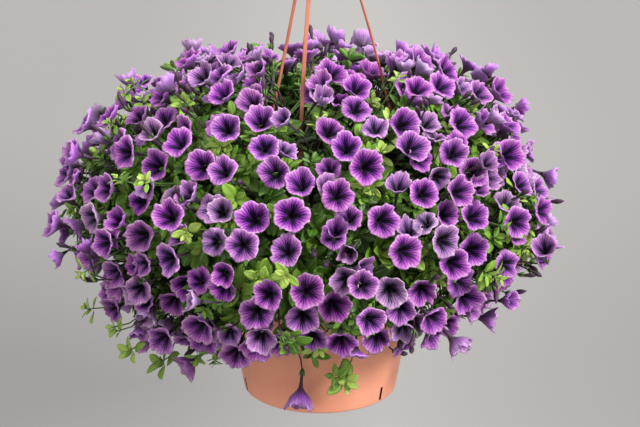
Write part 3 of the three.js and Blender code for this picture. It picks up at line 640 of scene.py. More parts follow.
hung_at, hung_facing = hanging(HANGING_BLOOMS)
hung_sizes = np.full(len(HANGING_BLOOMS), BLOOM_SIZE * 0.47)
hung_draw = 0.2 + 0.2 * np.arange(len(HANGING_BLOOMS))
centres, facings, sizes, turns, draws = (
    np.concatenate(pair) for pair in zip(
        scatter_blooms(),
        (hung_at, hung_facing, hung_sizes, 72 * hung_draw, hung_draw))
)
spray_fan = fan(SPRAY_COUNT, SPRAY_TURN)
spray_paths = [shoot(a, l, SPRAY_REACH, 5) for a, l in zip(*spray_fan)]

# ---------- Blooms ----------
# Trumpets of five fused petals: soft, velvety mauve with a paler, waved margin, purple veins and
# a star-shaped throat that is nearly black.  The backs and the slender tubes are dull plum.
PETAL_SIDES = 40
HUNG = slice(-len(HANGING_BLOOMS), None)
# Rows of (share of the radius, depth under the face) of a bloom of the drawn radius, from the
# foot of the tube up its outside to the margin, then down the face into the throat.
DRAWN_RADIUS = 24
TUBE_ROWS = [(0.075, 34), (0.1, 25), (0.15, 16), (0.3, 10), (0.66, 4.6)]
SHOWN_SIZE = 0.855  # of the solid model's blooms, which are larger than life
CRIMP = 30  # millimetres of height for a margin further out by the whole radius
# Shares of the radius: where the petal begins to wave, how deep the notches are, and the others.
WAVED_FROM, NOTCH, LOBE, SLOW_WAVE, CURLED_IN = 0.3, 0.1, 0.02, 0.03, 0.018
TENFOLD, THREEFOLD, LOBE_RISE = 1.1, 1.6, 0.9  # heights of the face's waves in millimetres
FACE_ROWS = [(1.0, 1.0), (0.9, 0.1), (0.74, 0.5), (0.55, 2.6), (0.38, 6.5), (0.2, 13), (0.0, 20)]


def make_blooms(size, draw, cup, bend, curls, ragged):
    """Blooms in their own axes, with t round them and r from 0 to 1.  The margin's radius is
    1 - 0.1 n^3 + 0.02 cos 5t + 0.03 sin 2t + ragged, where n = (1 - cos 5t)/2 makes the five
    notches.  The face rises by cup r^bend, each petal's own curl times its window cos^1.5, two
    waves, and small crimps that go with the ragged margin."""
    rows = np.array([(r, -d) for r, d in TUBE_ROWS + FACE_ROWS])
    t = 2 * np.pi / PETAL_SIDES * np.arange(PETAL_SIDES)
    notch = ((1 - np.cos(5 * t)) / 2) ** 3
    r = rows[:, 0]
    wide = np.clip((r - WAVED_FROM) / (1 - WAVED_FROM), 0, 1)[:, None]
    phase = 6.3 * draw[:, None, None]
    gone = (t - 2 * np.pi / 5 * np.arange(5)[:, None] + np.pi) % (2 * np.pi) - np.pi
    window = np.maximum(0, np.cos(2.1 * np.clip(gone, -0.74, 0.74))) ** 1.5
    curl = (curls @ window)[:, None]
    rim = 1 + wide * (-NOTCH * notch + LOBE * np.cos(5 * t)) - wide**2 * CURLED_IN * abs(curl)
    rim = rim + wide**2 * (SLOW_WAVE * np.sin(2 * t + 3 * phase) + ragged[:, None])
    radius = r[:, None] * rim * size[:, None, None]
    wave = curl + TENFOLD * np.cos(10 * t + 2.1 * phase) + THREEFOLD * np.sin(3 * t + phase)
    wave = wave + CRIMP * ragged[:, None]
    fold = LOBE_RISE * np.cos(5 * t) * (r * (1 - r) * 4)[:, None]
    height = rows[:, 1:] * size[:, None, None] / DRAWN_RADIUS + wide**2 * wave + fold * wide**0.5
    height = height + cup[:, None, None] * r[:, None] ** bend[:, None, None]
    height[:, -1] = rows[-1, 1]
    height[:, 0] = -TUBE_LENGTH
    shape = np.stack(np.broadcast_arrays(radius * np.cos(t), radius * np.sin(t), height), -1)
    flat = 0.5 + 0.5 * r[:, None, None] * np.stack([np.cos(t), np.sin(t)], -1)
    return shape.reshape(len(size), -1, 3), flat.reshape(-1, 2)


def bloom_faces(count):
    """Faces of the blooms: tube foot closed by a point, rows of quads, throat closed by a point.
    The first rows are backs and tubes, the others faces."""
    rows = len(TUBE_ROWS) + len(FACE_ROWS)
    index = np.arange(rows * PETAL_SIDES).reshape(rows, PETAL_SIDES)
    index[-1] = index[-1, 0]
    nxt = np.roll(index, -1, 1)
    one = tidy_faces(np.stack([index[:-1], nxt[:-1], nxt[1:], index[1:]], -1))
    foot = rows * PETAL_SIDES
    cap = np.c_[np.full(PETAL_SIDES, foot), nxt[0], index[0], np.full(PETAL_SIDES, -1)]
    one = np.r_[cap, one]
    is_face = np.arange(len(one)) // PETAL_SIDES > len(TUBE_ROWS)
    many = one[None] + (foot + 1) * np.arange(count)[:, None, None]
    return np.where(one[None] < 0, -1, many).reshape(-1, 4), np.tile(is_face, count)


def place_on_bloom(look):
    """The radius (0 to 1) and the angle of a place on a bloom, from its UV."""
    uv = add_node(look, "UVMap", {"uv_map": "surface"})
    flat = add_node(look, "VectorMath", {
        "operation": "MULTIPLY_ADD", 0: uv, 1: (2, 2, 0), 2: (-1, -1, 0)})
    x, y, _ = add_node(look, "SeparateXYZ", {0: flat}, slice(3))
    radius = add_node(look, "VectorMath", {"operation": "LENGTH", 0: flat}, "Value")
    return radius, add_node(look, "Math", {"operation": "ARCTAN2", 0: y, 1: x})


def fine_ribs(look, turned, sharpness):
    """Ribs round a bloom, from 12.5 times the angle: |sin turned| to the power `sharpness`."""
    sine = add_node(look, "Math", {"operation": "SINE", 0: turned})
    ribs = add_node(look, "Math", {"operation": "ABSOLUTE", 0: sine})
    return add_node(look, "Math", {"operation": "POWER", 0: ribs, 1: sharpness})


def petal_colour(look, radius, push, reach, stops):
    """The colour at radius + push (reach - radius), shifted by the bloom's own values: `tint`
    from reddish and deep to bluish and pale, `fade` from fresh to washed out."""
    inward = add_node(look, "Math", {"operation": "SUBTRACT", 0: reach, 1: radius})
    out = add_node(look, "Math", {"operation": "MULTIPLY_ADD", 0: push, 1: inward, 2: radius})
    tint, fade = (add_node(look, "Attribute", {"attribute_name": key}, "Fac")
                  for key in ("tint", "fade"))
    hue, vivid, light = (
        add_node(look, "MapRange", {"To Min": low, "To Max": high, "Value": value})
        for low, high, value in ((0.52, 0.488, tint), (1.08, 0.35, fade), (0.86, 1.14, tint)))
    return add_node(look, "HueSaturation", {
        "Hue": hue, "Saturation": vivid, "Value": light,
        "Color": add_node(look, "ValToRGB", {"stops": stops, "Fac": out})})


def velvet_petal():
    """The face of a petal: cells like tiny domes give it a velvet sheen.  The colour runs from
    the near-black throat through violet to the pale margin, further out along the five rays and
    the fine veins.  The thin palest band at the margin is partly the petal's own pale edge and
    partly a painted highlight, for the light that the crimped edges catch."""
    look = new_look("velvet_petal")
    radius, angle = place_on_bloom(look)
    place = add_node(look, "TexCoord", out="Object")
    cloud = add_node(look, "TexNoise", {"Scale": 150, "Detail": 3, "Vector": place})
    fivefold = add_node(look, "Math", {"operation": "MULTIPLY", 0: angle, 1: 5})
    rays = add_node(look, "Math", {"operation": "COSINE", 0: fivefold})
    bent = add_node(look, "Math", {"operation": "MULTIPLY", 0: cloud, 1: 5})
    bent = add_node(look, "Math", {"operation": "MULTIPLY_ADD", 0: angle, 1: 12.5, 2: bent})
    veins = fine_ribs(look, bent, 0.6)
    push = -0.83
    for pattern, weight in ((rays, -0.18), (veins, 0.66), (cloud, 0.5)):
        push = add_node(look, "Math", {
            "operation": "MULTIPLY_ADD", 0: pattern, 1: weight, 2: push})
    # The palest stop, at the margin, is partly painted highlight: the light caught by the crimped
    # edges.
    stops = {0.0: "030105", 0.21: "090310", 0.32: "1d0830", 0.44: "481e64", 0.58: "713685",
             0.72: "8a4e93", 0.86: "a168a5", 0.97: "b78fb9"}
    surface = add_node(look, "BsdfPrincipled", {
        "Roughness": 0.66, "Specular IOR Level": 0.15,
        "Sheen Weight": 0.1, "Sheen Roughness": 0.4, "Sheen Tint": linear("e8d0ff"),
        "Base Color": petal_colour(look, radius, push, 1.12, stops),
        "Normal": add_node(look, "Bump", {"Strength": 0.35, "Distance": 0.0012, "Height": veins}),
    })
    add_node(look, "OutputMaterial", {"Surface": surface})
    return look


def plum_back():
    """The back of the petals and the tube: duller, ribbed lengthwise, dark plum at the tube and
    lilac-grey towards the margin, by the distance from the bloom's own axis."""
    look = new_look("plum_petal_back")
    radius, angle = place_on_bloom(look)
    turned = add_node(look, "Math", {"operation": "MULTIPLY", 0: angle, 1: 12.5})
    push = add_node(look, "Math", {
        "operation": "MULTIPLY_ADD", 0: fine_ribs(look, turned, 0.5), 1: 0.6, 2: -0.5})
    stops = {0.0: "1c0c19", 0.12: "2a1127", 0.25: "40193f", 0.4: "54266a", 0.7: "82409a",
             1.0: "b478c6"}
    surface = add_node(look, "BsdfPrincipled", {
        "Roughness": 0.6, "Sheen Weight": 0.15,
        "Base Color": petal_colour(look, radius, push, 1.1, stops)})
    add_node(look, "OutputMaterial", {"Surface": surface})
    return look


def stand_blooms(centre, facing, turn, *made_by):
    """Blooms in place, each with the point that closes its tube, and their directions across."""
    across, other = bloom_axes(facing, turn)
    shape, flat = make_blooms(*made_by)
    foot = np.broadcast_to([0, 0, -TUBE_LENGTH - 1.0], (len(centre), 1, 3))
    shape = np.concatenate([shape, foot], 1)
    points = (centre[:, None] + shape[..., :1] * across[:, None] + shape[..., 1:2] * other[:, None]
              + shape[..., 2:] * facing[:, None])
    return points, across, other, np.r_[flat, [[0.5, 0.5]]]


petal_looks = [plum_back(), velvet_petal()]
life = np.random.default_rng(11)
full_blooms = len(centres)
tints_and_painted_light = np.clip(life.normal(0.45, 0.24, full_blooms), 0, 1)
fades = np.where(life.uniform(0, 1, full_blooms) < 0.1, life.uniform(0.3, 0.6, full_blooms),
                 life.uniform(0, 0.2, full_blooms))
cups = np.clip(life.normal(3.6, 2.6, full_blooms), -1.5, 9)
cups[HUNG] = 13, 9, 8, 9
bends = np.full(full_blooms, 2.0)
bends[HUNG] = 4
# The first hanging bloom faces down into the shade under the mound. Its high tint makes it paler
# and bluer, partly as its own colour and partly as painted light against that shade.
tints_and_painted_light[HUNG] = 0.85, 0.5, 0.5, 0.5
curls = life.normal(0, 2.4, (full_blooms, 5)) * life.choice([0.7, 1.6], (full_blooms, 1))
ragged = life.normal(0, 0.03, (full_blooms, PETAL_SIDES))
ragged[HUNG] *= 1.6
bloom_points, across, other, bloom_flat = stand_blooms(
    centres, facings, turns, sizes * SHOWN_SIZE, draws, cups, bends, curls, ragged)

# ---------- Stalks, calyxes and buds ----------
# Each bloom stands on a thin, flexible stalk, green at the shoot and purple-brown near the
# bloom, in a calyx of five narrow green sepals.  Slender dark buds and a few folded, fading
# blooms stand among them.
STALK_STEPS, STALK_SIDES, BUD_SIDES = 7, 5, 7
# Blooms between the solid model's: how many, how far from those, lowest and highest level, how
# deep and how shallow under the mound's surface, how loosely they lean and how far apart they
# are, then the limits of their radius and of their cup.
BETWEEN = [
    ((26, 24, -0.5, 0.98, 8, -6, 0.35, 26), (11, 15), (9, 17)),  # half folded
    ((200, 23, -0.56, 0.98, 18, -2, 0.3, 19), (15, 19), (0, 8)),  # small and open
    ((40, 26, -0.6, 0.98, -4, -20, 0.5, 40), (13, 17), (5, 13)),  # on long stalks
]
BUDS = (120, 17, -0.56, 0.99, 4, -26, 0.3, 9)
BUD_RADII = np.array([1.3, 1.6, 1.9, 2.5, 3.3, 2.7, 0.6])
SHOOT_RADII, STALK_RADII = (2.6, 1.7), (0.9, 1.1)
SEPALS = np.array([0, 4, 9.5]), np.array([0.8, 1.2, 0.3])  # steps along them, and radii
BEHIND_FACE, BEFORE_FACE, IN_VIEW = 16, 8, 50
BEND_SHARE, BEND_MOST = 0.38, 26


def bent(starts, start_ways, ends, end_ways, steps):
    """Bezier curves that leave each start along its way and reach each end along its way, held
    straight there over a share of the distance."""
    t = np.linspace(0, 1, steps)[None, :, None]
    reach = np.minimum(BEND_SHARE * np.linalg.norm(ends - starts, axis=1)[:, None], BEND_MOST)
    b, c = starts + start_ways * reach, ends - end_ways * reach
    return ((1 - t) ** 3 * starts[:, None] + 3 * t * (1 - t) ** 2 * b[:, None]
            + 3 * t * t * (1 - t) * c[:, None] + t**3 * ends[:, None])


def clouded_tint(look, scale):
    """The growth's value `tint`, made uneven: tint - 0.15 + 0.3 noise.  On leaves the value holds
    painted light and shade as well as their own colour.
    """
    place = add_node(look, "TexCoord", out="Object")
    cloud = add_node(look, "TexNoise", {"Scale": scale, "Detail": 3, "Vector": place})
    tint = add_node(look, "Attribute", {"attribute_name": "tint"}, "Fac")
    less = add_node(look, "Math", {"operation": "SUBTRACT", 0: tint, 1: 0.15})
    return add_node(look, "Math", {"operation": "MULTIPLY_ADD", 0: cloud, 1: 0.3, 2: less})


def stem_skin(name, stops):
    """Green growth with fine hairs: matt, darker towards the bloom by the value `tint`."""
    look = new_look(name)
    shade = {"stops": stops, "Fac": clouded_tint(look, 120)}
    surface = add_node(look, "BsdfPrincipled", {
        "Roughness": 0.6, "Base Color": add_node(look, "ValToRGB", shade)})
    add_node(look, "OutputMaterial", {"Surface": surface})
    return look


def sepals(starts, across, other, facing):
    """Five narrow spindles round the foot of each tube, leaning out by a quarter."""
    t = np.radians(72) * np.arange(5)
    round_tube = np.cos(t)[:, None] * across[:, None] + np.sin(t)[:, None] * other[:, None]
    steps = SEPALS[0][:, None]
    base = (starts[:, None] + 1.4 * round_tube).reshape(-1, 1, 3)
    way = unit(facing[:, None] + 0.28 * round_tube).reshape(-1, 1, 3)
    return tubes(base + way * steps, SEPALS[1], 3)


def before_blooms(points, reach):
    """Whether something that reaches so far would stand in or close behind a bloom's face, or
    anywhere in view of it."""
    gone = points[:, None] - centres
    height = (gone * facings).sum(-1)
    radius = np.linalg.norm(gone - height[..., None] * facings, axis=-1)
    in_disc = (height > -BEHIND_FACE) & (height < BEFORE_FACE)
    in_disc &= radius < sizes + 0.7 * reach[:, None]
    before = (height > 0) & (height < IN_VIEW) & (radius < sizes + 4)
    return (in_disc | before).any(1)


def in_gaps(count, from_blooms, low, high, deep, shallow, loose, apart):
    """Seeded places on the mound, at least so far from any bloom's centre, not before its face
    and so far apart: where, and the way out, with a random lean of up to `loose`."""
    tries = 60 * count
    azimuth, level = life.uniform(-180, 180, tries), life.uniform(low, high, tries)
    slope = np.sqrt(0.55 + 0.45 * level**2)
    good = (level > lowest_level(azimuth) - 0.04) & (life.uniform(0, 1, tries) < slope)
    azimuth, level = azimuth[good], level[good]
    way = mound_facing(azimuth, level)
    spot = mound_at(azimuth, level) + way * life.uniform(-deep, -shallow, len(way))[:, None]
    gap = np.linalg.norm(spot[:, None] - centres, axis=2).min(1)
    free = (gap > from_blooms) & (leg_distance(spot) > 22) & is_free(spot)
    free &= ~hides_leg(spot, unit(EYE - spot), np.full(len(spot), 14))
    free &= ~before_blooms(spot, np.full(len(spot), 0.6 * apart))
    spot, way = spot[free], way[free]
    way = unit(way + life.normal(0, loose, way.shape) + 0.15 * UP)
    chosen = [0]
    for k in range(1, len(spot)):
        if np.linalg.norm(spot[chosen] - spot[k], axis=1).min() > apart:
            chosen.append(k)
    return spot[chosen[:count]], way[chosen[:count]]


stalk_look = stem_skin(
    "hairy_stalk", {0.0: "4f7a30", 0.4: "4c5428", 0.75: "402430", 1.0: "2c1428"}
)
bud_look = stem_skin(
    "unopened_petals", {0.0: "64743a", 0.35: "3e2232", 0.7: "2e142a", 1.0: "40203e"}
)
places = [in_gaps(*place) for place, _, _ in BETWEEN]
bud_at, bud_ways = in_gaps(*BUDS)
more_sizes, more_cups = (
    np.concatenate([life.uniform(*kind[part], len(at)) for kind, (at, _) in zip(BETWEEN, places)])
    for part in (1, 2)
)
more_at, more_ways = (np.concatenate(part) for part in zip(*places))
more = len(more_at)
more_points, more_across, more_other, _ = stand_blooms(
    more_at, more_ways, life.uniform(0, 72, more),
    more_sizes, life.uniform(0, 1, more), more_cups, np.full(more, 2.0),
    life.normal(0, 3.2, (more, 5)), life.normal(0, 0.03, (more, PETAL_SIDES)))
centres, facings = np.r_[centres, more_at], np.r_[facings, more_ways]
sizes = np.r_[sizes * SHOWN_SIZE, more_sizes]
across, other = np.r_[across, more_across], np.r_[other, more_other]
bloom_points = np.r_[bloom_points, more_points]
tints_and_painted_light = np.r_[tints_and_painted_light, life.uniform(0.1, 0.9, more)]
fades = np.r_[fades, life.uniform(0.0, 0.6, more)]
tube_ends = centres - facings * TUBE_LENGTH
bud_lengths = life.uniform(17, 30, len(bud_at))
bud_ends = bud_at - bud_ways * bud_lengths[:, None]
shoot_ends = [p[-1] for p in spray_paths]
bloom_owner, bloom_along = carried_by(spray_fan, centres, shoot_ends)
bud_owner, bud_along = carried_by(spray_fan, bud_at, shoot_ends)
stalk_roots, bud_roots = (
    np.array([stalk_root(spray_paths[k], t, end) for k, t, end in zip(owner, along, ends)])
    for owner, along, ends in ((bloom_owner, bloom_along, tube_ends),
                               (bud_owner, bud_along, bud_ends))
)

for k in range(SPRAY_COUNT):
    number = f"_{k + 1:02d}"
    own = np.flatnonzero(bloom_owner == k)
    faces, is_face = bloom_faces(len(own))
    each = bloom_points.shape[1]
    blooms = put_mesh(
        "trumpets" + number, bloom_points[own].reshape(-1, 3), faces, petal_looks, is_face,
        np.tile(bloom_flat, (len(own), 1)),
        {"tint": np.repeat(tints_and_painted_light[own], each), "fade": np.repeat(fades[own], each)},
    )
    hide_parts("flower_spray" + number)
    main = shoot(spray_fan[0][k], spray_fan[1][k], SPRAY_REACH, 14)
    buds = np.flatnonzero(bud_owner == k)
    starts = np.r_[stalk_roots[own], bud_roots[buds]]
    ends = np.r_[tube_ends[own], bud_ends[buds]]
    end_ways = np.r_[facings[own], bud_ways[buds]]
    root_ways = unit(0.5 * unit(main[-1] - main[4]) + 0.5 * unit(ends - starts))
    stalks = bent(starts, root_ways, ends, end_ways, STALK_STEPS)
    bud_across, bud_other = bloom_axes(bud_ways[buds], np.zeros(len(buds)))
    side = life.normal(0, 0.12, (len(buds), 1, 3)) * bud_lengths[buds][:, None, None]
    t = np.linspace(0, 1, len(BUD_RADII))[None, :, None]
    bud_paths = (bud_ends[buds][:, None] + side * t * (1 - t) * 2
                 + t * bud_ways[buds][:, None] * bud_lengths[buds][:, None, None])
    parts = [
        tubes([main], np.linspace(*SHOOT_RADII, len(main)), 8),
        tubes(stalks, np.linspace(*STALK_RADII, STALK_STEPS), STALK_SIDES),
        sepals(ends - 2 * end_ways, np.r_[across[own], bud_across],
               np.r_[other[own], bud_other], end_ways),
        tubes(bud_paths, BUD_RADII, BUD_SIDES),
    ]
    points_of = [len(points) for points, _ in parts]
    shades = np.concatenate([
        np.full(points_of[0], 0.15),
        np.tile(np.r_[0.2, np.repeat(np.linspace(0.2, 0.95, STALK_STEPS), STALK_SIDES), 0.95],
                len(ends)),
        np.full(points_of[2], 0.12),
        np.tile(np.r_[0.3, np.repeat(np.linspace(0.4, 1.0, len(BUD_RADII)), BUD_SIDES), 1.0],
                len(buds)),
    ])
    look_of_face = np.repeat([0, 0, 0, 1], [len(faces) for _, faces in parts])
    stalks = put_mesh("flower_stalks" + number, *joined(*parts), [stalk_look, bud_look],
                      look_of_face, values={"tint": shades})
    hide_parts("flower_spray" + number)

# ---------- Leafy stems ----------
# Soft, faintly sticky oval leaves with smooth edges, mostly 12 to 26 mm long, in tufts on thin
# twigs: mid green, lime where they are young, and longer inside the mound, where their darker
# colour is painted shade.
LEAF_SECTIONS = [(0.08, 0.34), (0.26, 0.82), (0.48, 1.0), (0.7, 0.88), (0.9, 0.45)]
LEAVES_IN_TUFT, LEAF_TURN = 8, 2.39996  # radians from leaf to leaf, the golden angle
TUFTS, TUFT_APART, TUFT_FROM_BLOOM, TUFT_DEPTH, TUFT_RADIUS = 64, 56, 26, 24, 24
LOWEST_LEAVES, LEAF_RISES, NARROWEST, WIDEST = 8, 48, 0.22, 0.36  # degrees; shares of the length
STEM_RADII, TWIG_RADIUS = (2.6, 1.8), 0.9


def leaf_shape():
    """One leaf of length and half width 1: sections of six points round it, margin, upper side
    in three, margin, underside.  The blade rises by 0.3 |x| towards its margins."""
    across = np.array([-1, -0.5, 0, 0.5, 1, 0])
    raised = np.array([0.3, 0.17, 0.0, 0.17, 0.3, -0.1])
    rows = [[(x * w, s, z * w) for x, z in zip(across, raised)] for s, w in LEAF_SECTIONS]
    return np.array([(0, 0, 0), *sum(rows, []), (0, 1, 0)])


def leaves(bases, ways, tops, lengths, half_widths, droops):
    """Leaves from their bases along their ways, upper sides towards `tops`.  The tip falls by
    droop times length times s squared."""
    one = leaf_shape()
    side = np.cross(ways, tops)
    s = one[:, 1] * lengths[:, None]
    x = one[:, 0] * half_widths[:, None]
    z = one[:, 2] * half_widths[:, None] - droops[:, None] * lengths[:, None] * one[:, 1] ** 2
    points = (bases[:, None] + x[..., None] * side[:, None] + s[..., None] * ways[:, None]
              + z[..., None] * tops[:, None])
    rings = len(LEAF_SECTIONS)
    faces = ring_faces(rings, 6, len(bases))
    one_uv = np.c_[0.5 + 0.5 * one[:, 0], one[:, 1]]
    under = np.arange(6 * (rings + 1)) % 6 >= 4
    return (points.reshape(-1, 3), faces, np.tile(one_uv, (len(bases), 1)),
            np.tile(under, len(bases)))


def leaf_look(name, stops, roughness):
    """A leaf's blade: colour by its own age and by painted light and shade, darker deep inside the
    mound and paler where tufts hang below it in its shade; a paler midrib and side veins, and a
    soft shine.
    """
    look = new_look(name)
    uv = add_node(look, "UVMap", {"uv_map": "surface"})
    x, y, _ = add_node(look, "SeparateXYZ", {0: uv}, slice(3))
    middle = add_node(look, "Math", {"operation": "SUBTRACT", 0: x, 1: 0.5})
    middle = add_node(look, "Math", {"operation": "ABSOLUTE", 0: middle})
    slant = add_node(look, "Math", {"operation": "MULTIPLY_ADD", 0: middle, 1: -1.2, 2: y})
    slant = add_node(look, "Math", {"operation": "MULTIPLY", 0: slant, 1: 38})
    slant = add_node(look, "Math", {"operation": "SINE", 0: slant})
    rib, vein = (
        add_node(look, "MapRange", {"From Min": start, "From Max": end, "To Min": low,
                                    "To Max": high, "Value": value})
        for start, end, low, high, value in ((0.015, 0.05, 0.3, 0, middle),
                                             (0.8, 1, 0, 0.12, slant)))
    pale = add_node(look, "Math", {"operation": "MAXIMUM", 0: rib, 1: vein})
    blade = add_node(look, "ValToRGB", {"stops": stops, "Fac": clouded_tint(look, 90)})
    surface = add_node(look, "BsdfPrincipled", {
        "Roughness": roughness, "Specular IOR Level": 0.3,
        "Base Color": add_node(look, "MixRGB", {
            "Fac": pale, "Color1": blade, "Color2": linear("a9c380")}),
        "Normal": add_node(look, "Bump", {
            "Strength": 0.3, "Distance": 0.0006, "invert": True, "Height": pale}),
    })
    add_node(look, "OutputMaterial", {"Surface": surface})
    return look


leaf_top = leaf_look(
    "leaf_upper_side",
    {0.0: "193608", 0.3: "446c17", 0.55: "648c28", 0.8: "84a23e", 1.0: "a0b656"}, 0.4
)
leaf_under = leaf_look(
    "leaf_underside",
    {0.0: "1c340e", 0.3: "3e6224", 0.55: "5e8638", 0.8: "88a852", 1.0: "acc26a"}, 0.6
)


def scatter_tufts():
    """The tufts of the solid model, in gaps between the blooms: where they are and how they
    face."""
    stream = iter(seeded_draws(SEED + 1, 60000))
    found, sites = [], list(hanging(HANGING_TUFTS)[0])
    while len(sites) < TUFTS:
        azimuth, level = 360 * next(stream) - 180, -0.8 + 1.79 * next(stream)
        lift, _ = -10 + 18 * next(stream), next(stream)
        azimuth, level = np.float64(azimuth), np.float64(level)
        if level < lowest_level(azimuth) - 0.08:
            continue
        site = mound_at(azimuth, level)
        if np.linalg.norm(centres[:full_blooms] - site, axis=1).min() < TUFT_FROM_BLOOM:
            continue
        if np.linalg.norm(np.array(sites) - site, axis=1).min() < TUFT_APART:
            continue
        facing = mound_facing(azimuth, level)
        hides = hides_leg(site[None], facing[None], [TUFT_RADIUS]).any()
        if hides or leg_distance(site) < 1.6 * TUFT_RADIUS:
            continue
        next(stream)
        sites.append(site + facing * (lift - TUFT_DEPTH))
        found.append((sites[-1], facing))
    return np.array([f[0] for f in found]), np.array([f[1] for f in found])


grow = np.random.default_rng(29)
tuft_at, tuft_facing = scatter_tufts()
hung_tuft_at, hung_tuft_facing = hanging(HANGING_TUFTS)


def around_tufts(at_points, ways, count, spread_mm):
    """Smaller tufts round each place, offset across its way and a little along it."""
    ways = np.repeat(ways, count, 0)
    offset = grow.normal(0, 1, (len(ways), 3)) * spread_mm * 0.6
    offset -= ways * (offset * ways).sum(1, keepdims=True)
    lift = grow.uniform(2, 20, len(ways))[:, None]
    return np.repeat(at_points, count, 0) + offset + lift * ways, unit(ways + offset / 60)


def extra_tufts(count, low, high, deep, shallow):
    """Tufts at seeded places of the mound, from so deep to so shallow under its surface."""
    tries = 4 * count
    azimuth, level = grow.uniform(-180, 180, tries), grow.uniform(low, high, tries)
    slope = np.sqrt(0.48 + 0.52 * level**2)
    good = (level > lowest_level(azimuth) - 0.06) & (grow.uniform(0, 1, tries) < slope)
    azimuth, level = azimuth[good][:count], level[good][:count]
    facing = mound_facing(azimuth, level)
    height = grow.uniform(-deep, -shallow, len(level))[:, None]
    centre = mound_at(azimuth, level) + facing * height
    return centre, unit(facing + grow.normal(0, 0.25, centre.shape))


# Their places, then the length of their leaves and the middle and spread of their tint.  The
# middle is partly the leaves' own colour and partly painted light and shade: lower the deeper a
# group lies in the mound, as painted shade, and higher for the tufts that hang and trail below
# it in its shade, as painted light.
groups = [
    (*around_tufts(tuft_at, tuft_facing, 4, 20), 21, 0.62, 0.18),
    (*around_tufts(hung_tuft_at, unit(hung_tuft_facing + UP), 2, 12), 19, 0.72, 0.12),
    (*around_tufts(*hanging(TRAILING_TIPS), 3, 12), 18, 0.85, 0.08),
    (*extra_tufts(1500, -0.72, 0.99, 30, 4), 18, 0.6, 0.24),
    (*extra_tufts(190, -0.66, 0.99, -4, -20), 16, 0.76, 0.14),
    (*extra_tufts(800, -0.66, 0.95, 75, 30), 26, 0.4, 0.14),
    (*extra_tufts(450, -0.6, 0.9, 130, 75), 32, 0.26, 0.08),
]
tufts = np.concatenate([g[0] for g in groups])
tuft_ways = np.concatenate([g[1] for g in groups])
tuft_sizes = np.concatenate([g[2] * grow.uniform(0.75, 1.35, len(g[0])) for g in groups])
tuft_tints_and_painted_light = np.concatenate([grow.normal(g[3], g[4], len(g[0])) for g in groups])
keep = is_free(tufts) & ~before_blooms(tufts, tuft_sizes)
keep &= ~hides_leg(tufts, unit(EYE - tufts), 0.7 * tuft_sizes)
tufts, tuft_ways, tuft_sizes, tuft_tints_and_painted_light = (
    a[keep] for a in (tufts, tuft_ways, tuft_sizes, tuft_tints_and_painted_light))

leafy_fan = fan(LEAFY_COUNT, LEAFY_TURN)
leafy_paths = []
for k in range(LEAFY_COUNT):
    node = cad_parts[f"leafy_stem_{k + 1:02d}"].data
    co = np.zeros(3 * len(node.vertices))
    node.vertices.foreach_get("co", co)
    co = co.reshape(-1, 3)
    foot = co[co[:, 2] < co[:, 2].min() + 1e-4].mean(0)
    leafy_paths.append(shoot(
        np.degrees(np.arctan2(foot[0], -foot[1])), leafy_fan[1][k], LEAFY_REACH, 14))
tuft_owner, _ = carried_by(leafy_fan, tufts, [p[-1] for p in leafy_paths])

for k in range(LEAFY_COUNT):
    own = np.flatnonzero(tuft_owner == k)
    path = leafy_paths[k]
    gap = np.linalg.norm(tufts[own][:, None] - path[4:], axis=2)
    roots = path[np.maximum(4 + gap.argmin(1) - 1, 4)]
    way = unit(tufts[own] - roots)
    twigs = bent(roots, way, tufts[own], tuft_ways[own], 5)
    n = len(own) * LEAVES_IN_TUFT
    place_in = np.tile(np.arange(LEAVES_IN_TUFT), len(own))
    young = place_in / (LEAVES_IN_TUFT - 1)
    ways = np.repeat(tuft_ways[own], LEAVES_IN_TUFT, 0)
    first = unit(np.cross(ways, [0.3, 0.2, 1.0]))
    second = np.cross(ways, first)
    turn = (place_in * LEAF_TURN + np.repeat(grow.uniform(0, 6.3, len(own)), LEAVES_IN_TUFT)
            + grow.normal(0, 0.2, n))
    level_way = np.cos(turn)[:, None] * first + np.sin(turn)[:, None] * second
    rise = np.radians(LOWEST_LEAVES + LEAF_RISES * young + grow.normal(0, 9, n))[:, None]
    leaf_way = np.cos(rise) * level_way + np.sin(rise) * ways
    leaf_top_way = np.cos(rise) * ways - np.sin(rise) * level_way
    lengths = np.repeat(tuft_sizes[own], LEAVES_IN_TUFT) * (1.12 - 0.5 * young)
    lengths = lengths * grow.uniform(0.8, 1.15, n)
    bases = (np.repeat(tufts[own], LEAVES_IN_TUFT, 0) + ways * (9 * young - 9)[:, None]
             + 1.5 * leaf_way)
    half_widths = lengths * grow.uniform(NARROWEST, WIDEST, n)
    blade = leaves(bases, leaf_way, leaf_top_way, lengths, half_widths,
                   grow.uniform(0.05, 0.3, n))
    leaf_tints_and_painted_light = np.clip(np.repeat(tuft_tints_and_painted_light[own], LEAVES_IN_TUFT) + 0.22 * (young - 0.5)
                         + grow.normal(0, 0.05, n), 0, 1)
    stems = joined(tubes([path], np.linspace(*STEM_RADII, len(path)), 8),
                   tubes(twigs, TWIG_RADIUS, STALK_SIDES))
    points, faces = joined((blade[0], blade[1]), stems)
    uv = np.r_[blade[2], np.zeros((len(stems[0]), 2))]
    look_of_face = np.r_[blade[3].astype(int), np.full(len(stems[1]), 2)]
    shades = np.r_[np.repeat(leaf_tints_and_painted_light, len(blade[0]) // n), np.full(len(stems[0]), 0.15)]
    growth = put_mesh(
        f"leafy_shoot_{k + 1:02d}", points, faces, [leaf_top, leaf_under, stalk_look],
        look_of_face, uv, {"tint": shades},
    )
    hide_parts(f"leafy_stem_{k + 1:02d}")

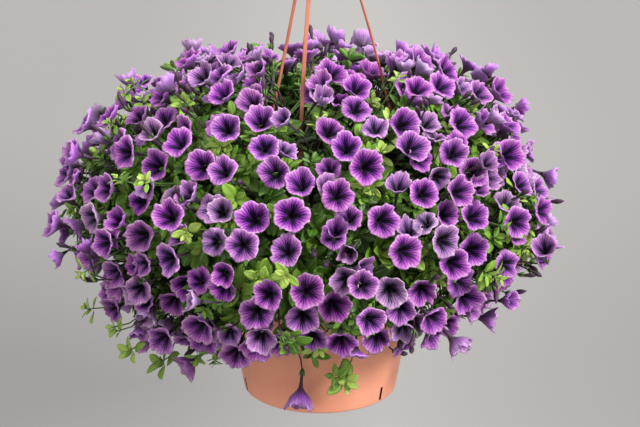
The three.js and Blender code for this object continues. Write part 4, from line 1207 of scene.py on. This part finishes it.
# ---------- Studio ----------
# A wide, pale grey floor far below, a grey surround and soft daylight-coloured lamps, the
# stronger from the right.
floor_points = np.r_[[[0, 0, 0]], 9000 * outward(np.arange(0, 360, 5.0))] + [0, 0, -900]
rim = 1 + np.arange(72)
floor_faces = np.c_[np.zeros(72, int), rim, np.roll(rim, -1), np.full(72, -1)]
paper = new_look("grey_studio_floor")
place = add_node(paper, "TexCoord", out="Object")
# The light on it: a long bright pool in the middle, and a fall into shade at the lower left.
light = 0.503
for middle, reach, strength in (
    ((0.154, 1.554), (1.437, 20.49), 0.2273), ((-0.491, 2.068), (4.567, 2.867), -0.1988)
):
    shift = add_node(paper, "Mapping", {
        "Location": (-middle[0] / reach[0], -middle[1] / reach[1], 0),
        "Scale": (1 / reach[0], 1 / reach[1], 0), "Vector": place})
    pool = add_node(
        paper, "TexGradient", {"gradient_type": "QUADRATIC_SPHERE", "Vector": shift}, "Fac")
    light = add_node(paper, "Math", {
        "operation": "MULTIPLY_ADD", 0: pool, 1: strength, 2: light})
colour = add_node(
    paper, "VectorMath", {"operation": "SCALE", 0: (0.393, 0.383, 0.377), "Scale": light})
surface = add_node(paper, "BsdfPrincipled", {"Roughness": 0.9, "Base Color": colour})
add_node(paper, "OutputMaterial", {"Surface": surface})
floor = put_mesh("studio_floor", floor_points, floor_faces, [paper])

world = bpy.data.worlds.new("studio")
world.use_nodes = True
world.node_tree.nodes["Background"].inputs["Color"].default_value = linear("bcb9b5")
world.node_tree.nodes["Background"].inputs["Strength"].default_value = 1.15
bpy.context.scene.world = world
for name, azimuth, height, power, softness in (
    ("key_light", 50, 38, 5.3, 22), ("fill_light", -45, 30, 1.3, 60),
    ("top_light", 170, 70, 1.4, 60),
):
    lamp = bpy.data.objects.new(name, bpy.data.lights.new(name, "SUN"))
    lamp.data.energy = power
    lamp.data.angle = np.radians(softness)
    lamp.rotation_euler = (np.radians(90 - height), 0, np.radians(azimuth))
    bpy.context.scene.collection.objects.link(lamp)
bpy.context.scene.view_settings.view_transform = "Standard"
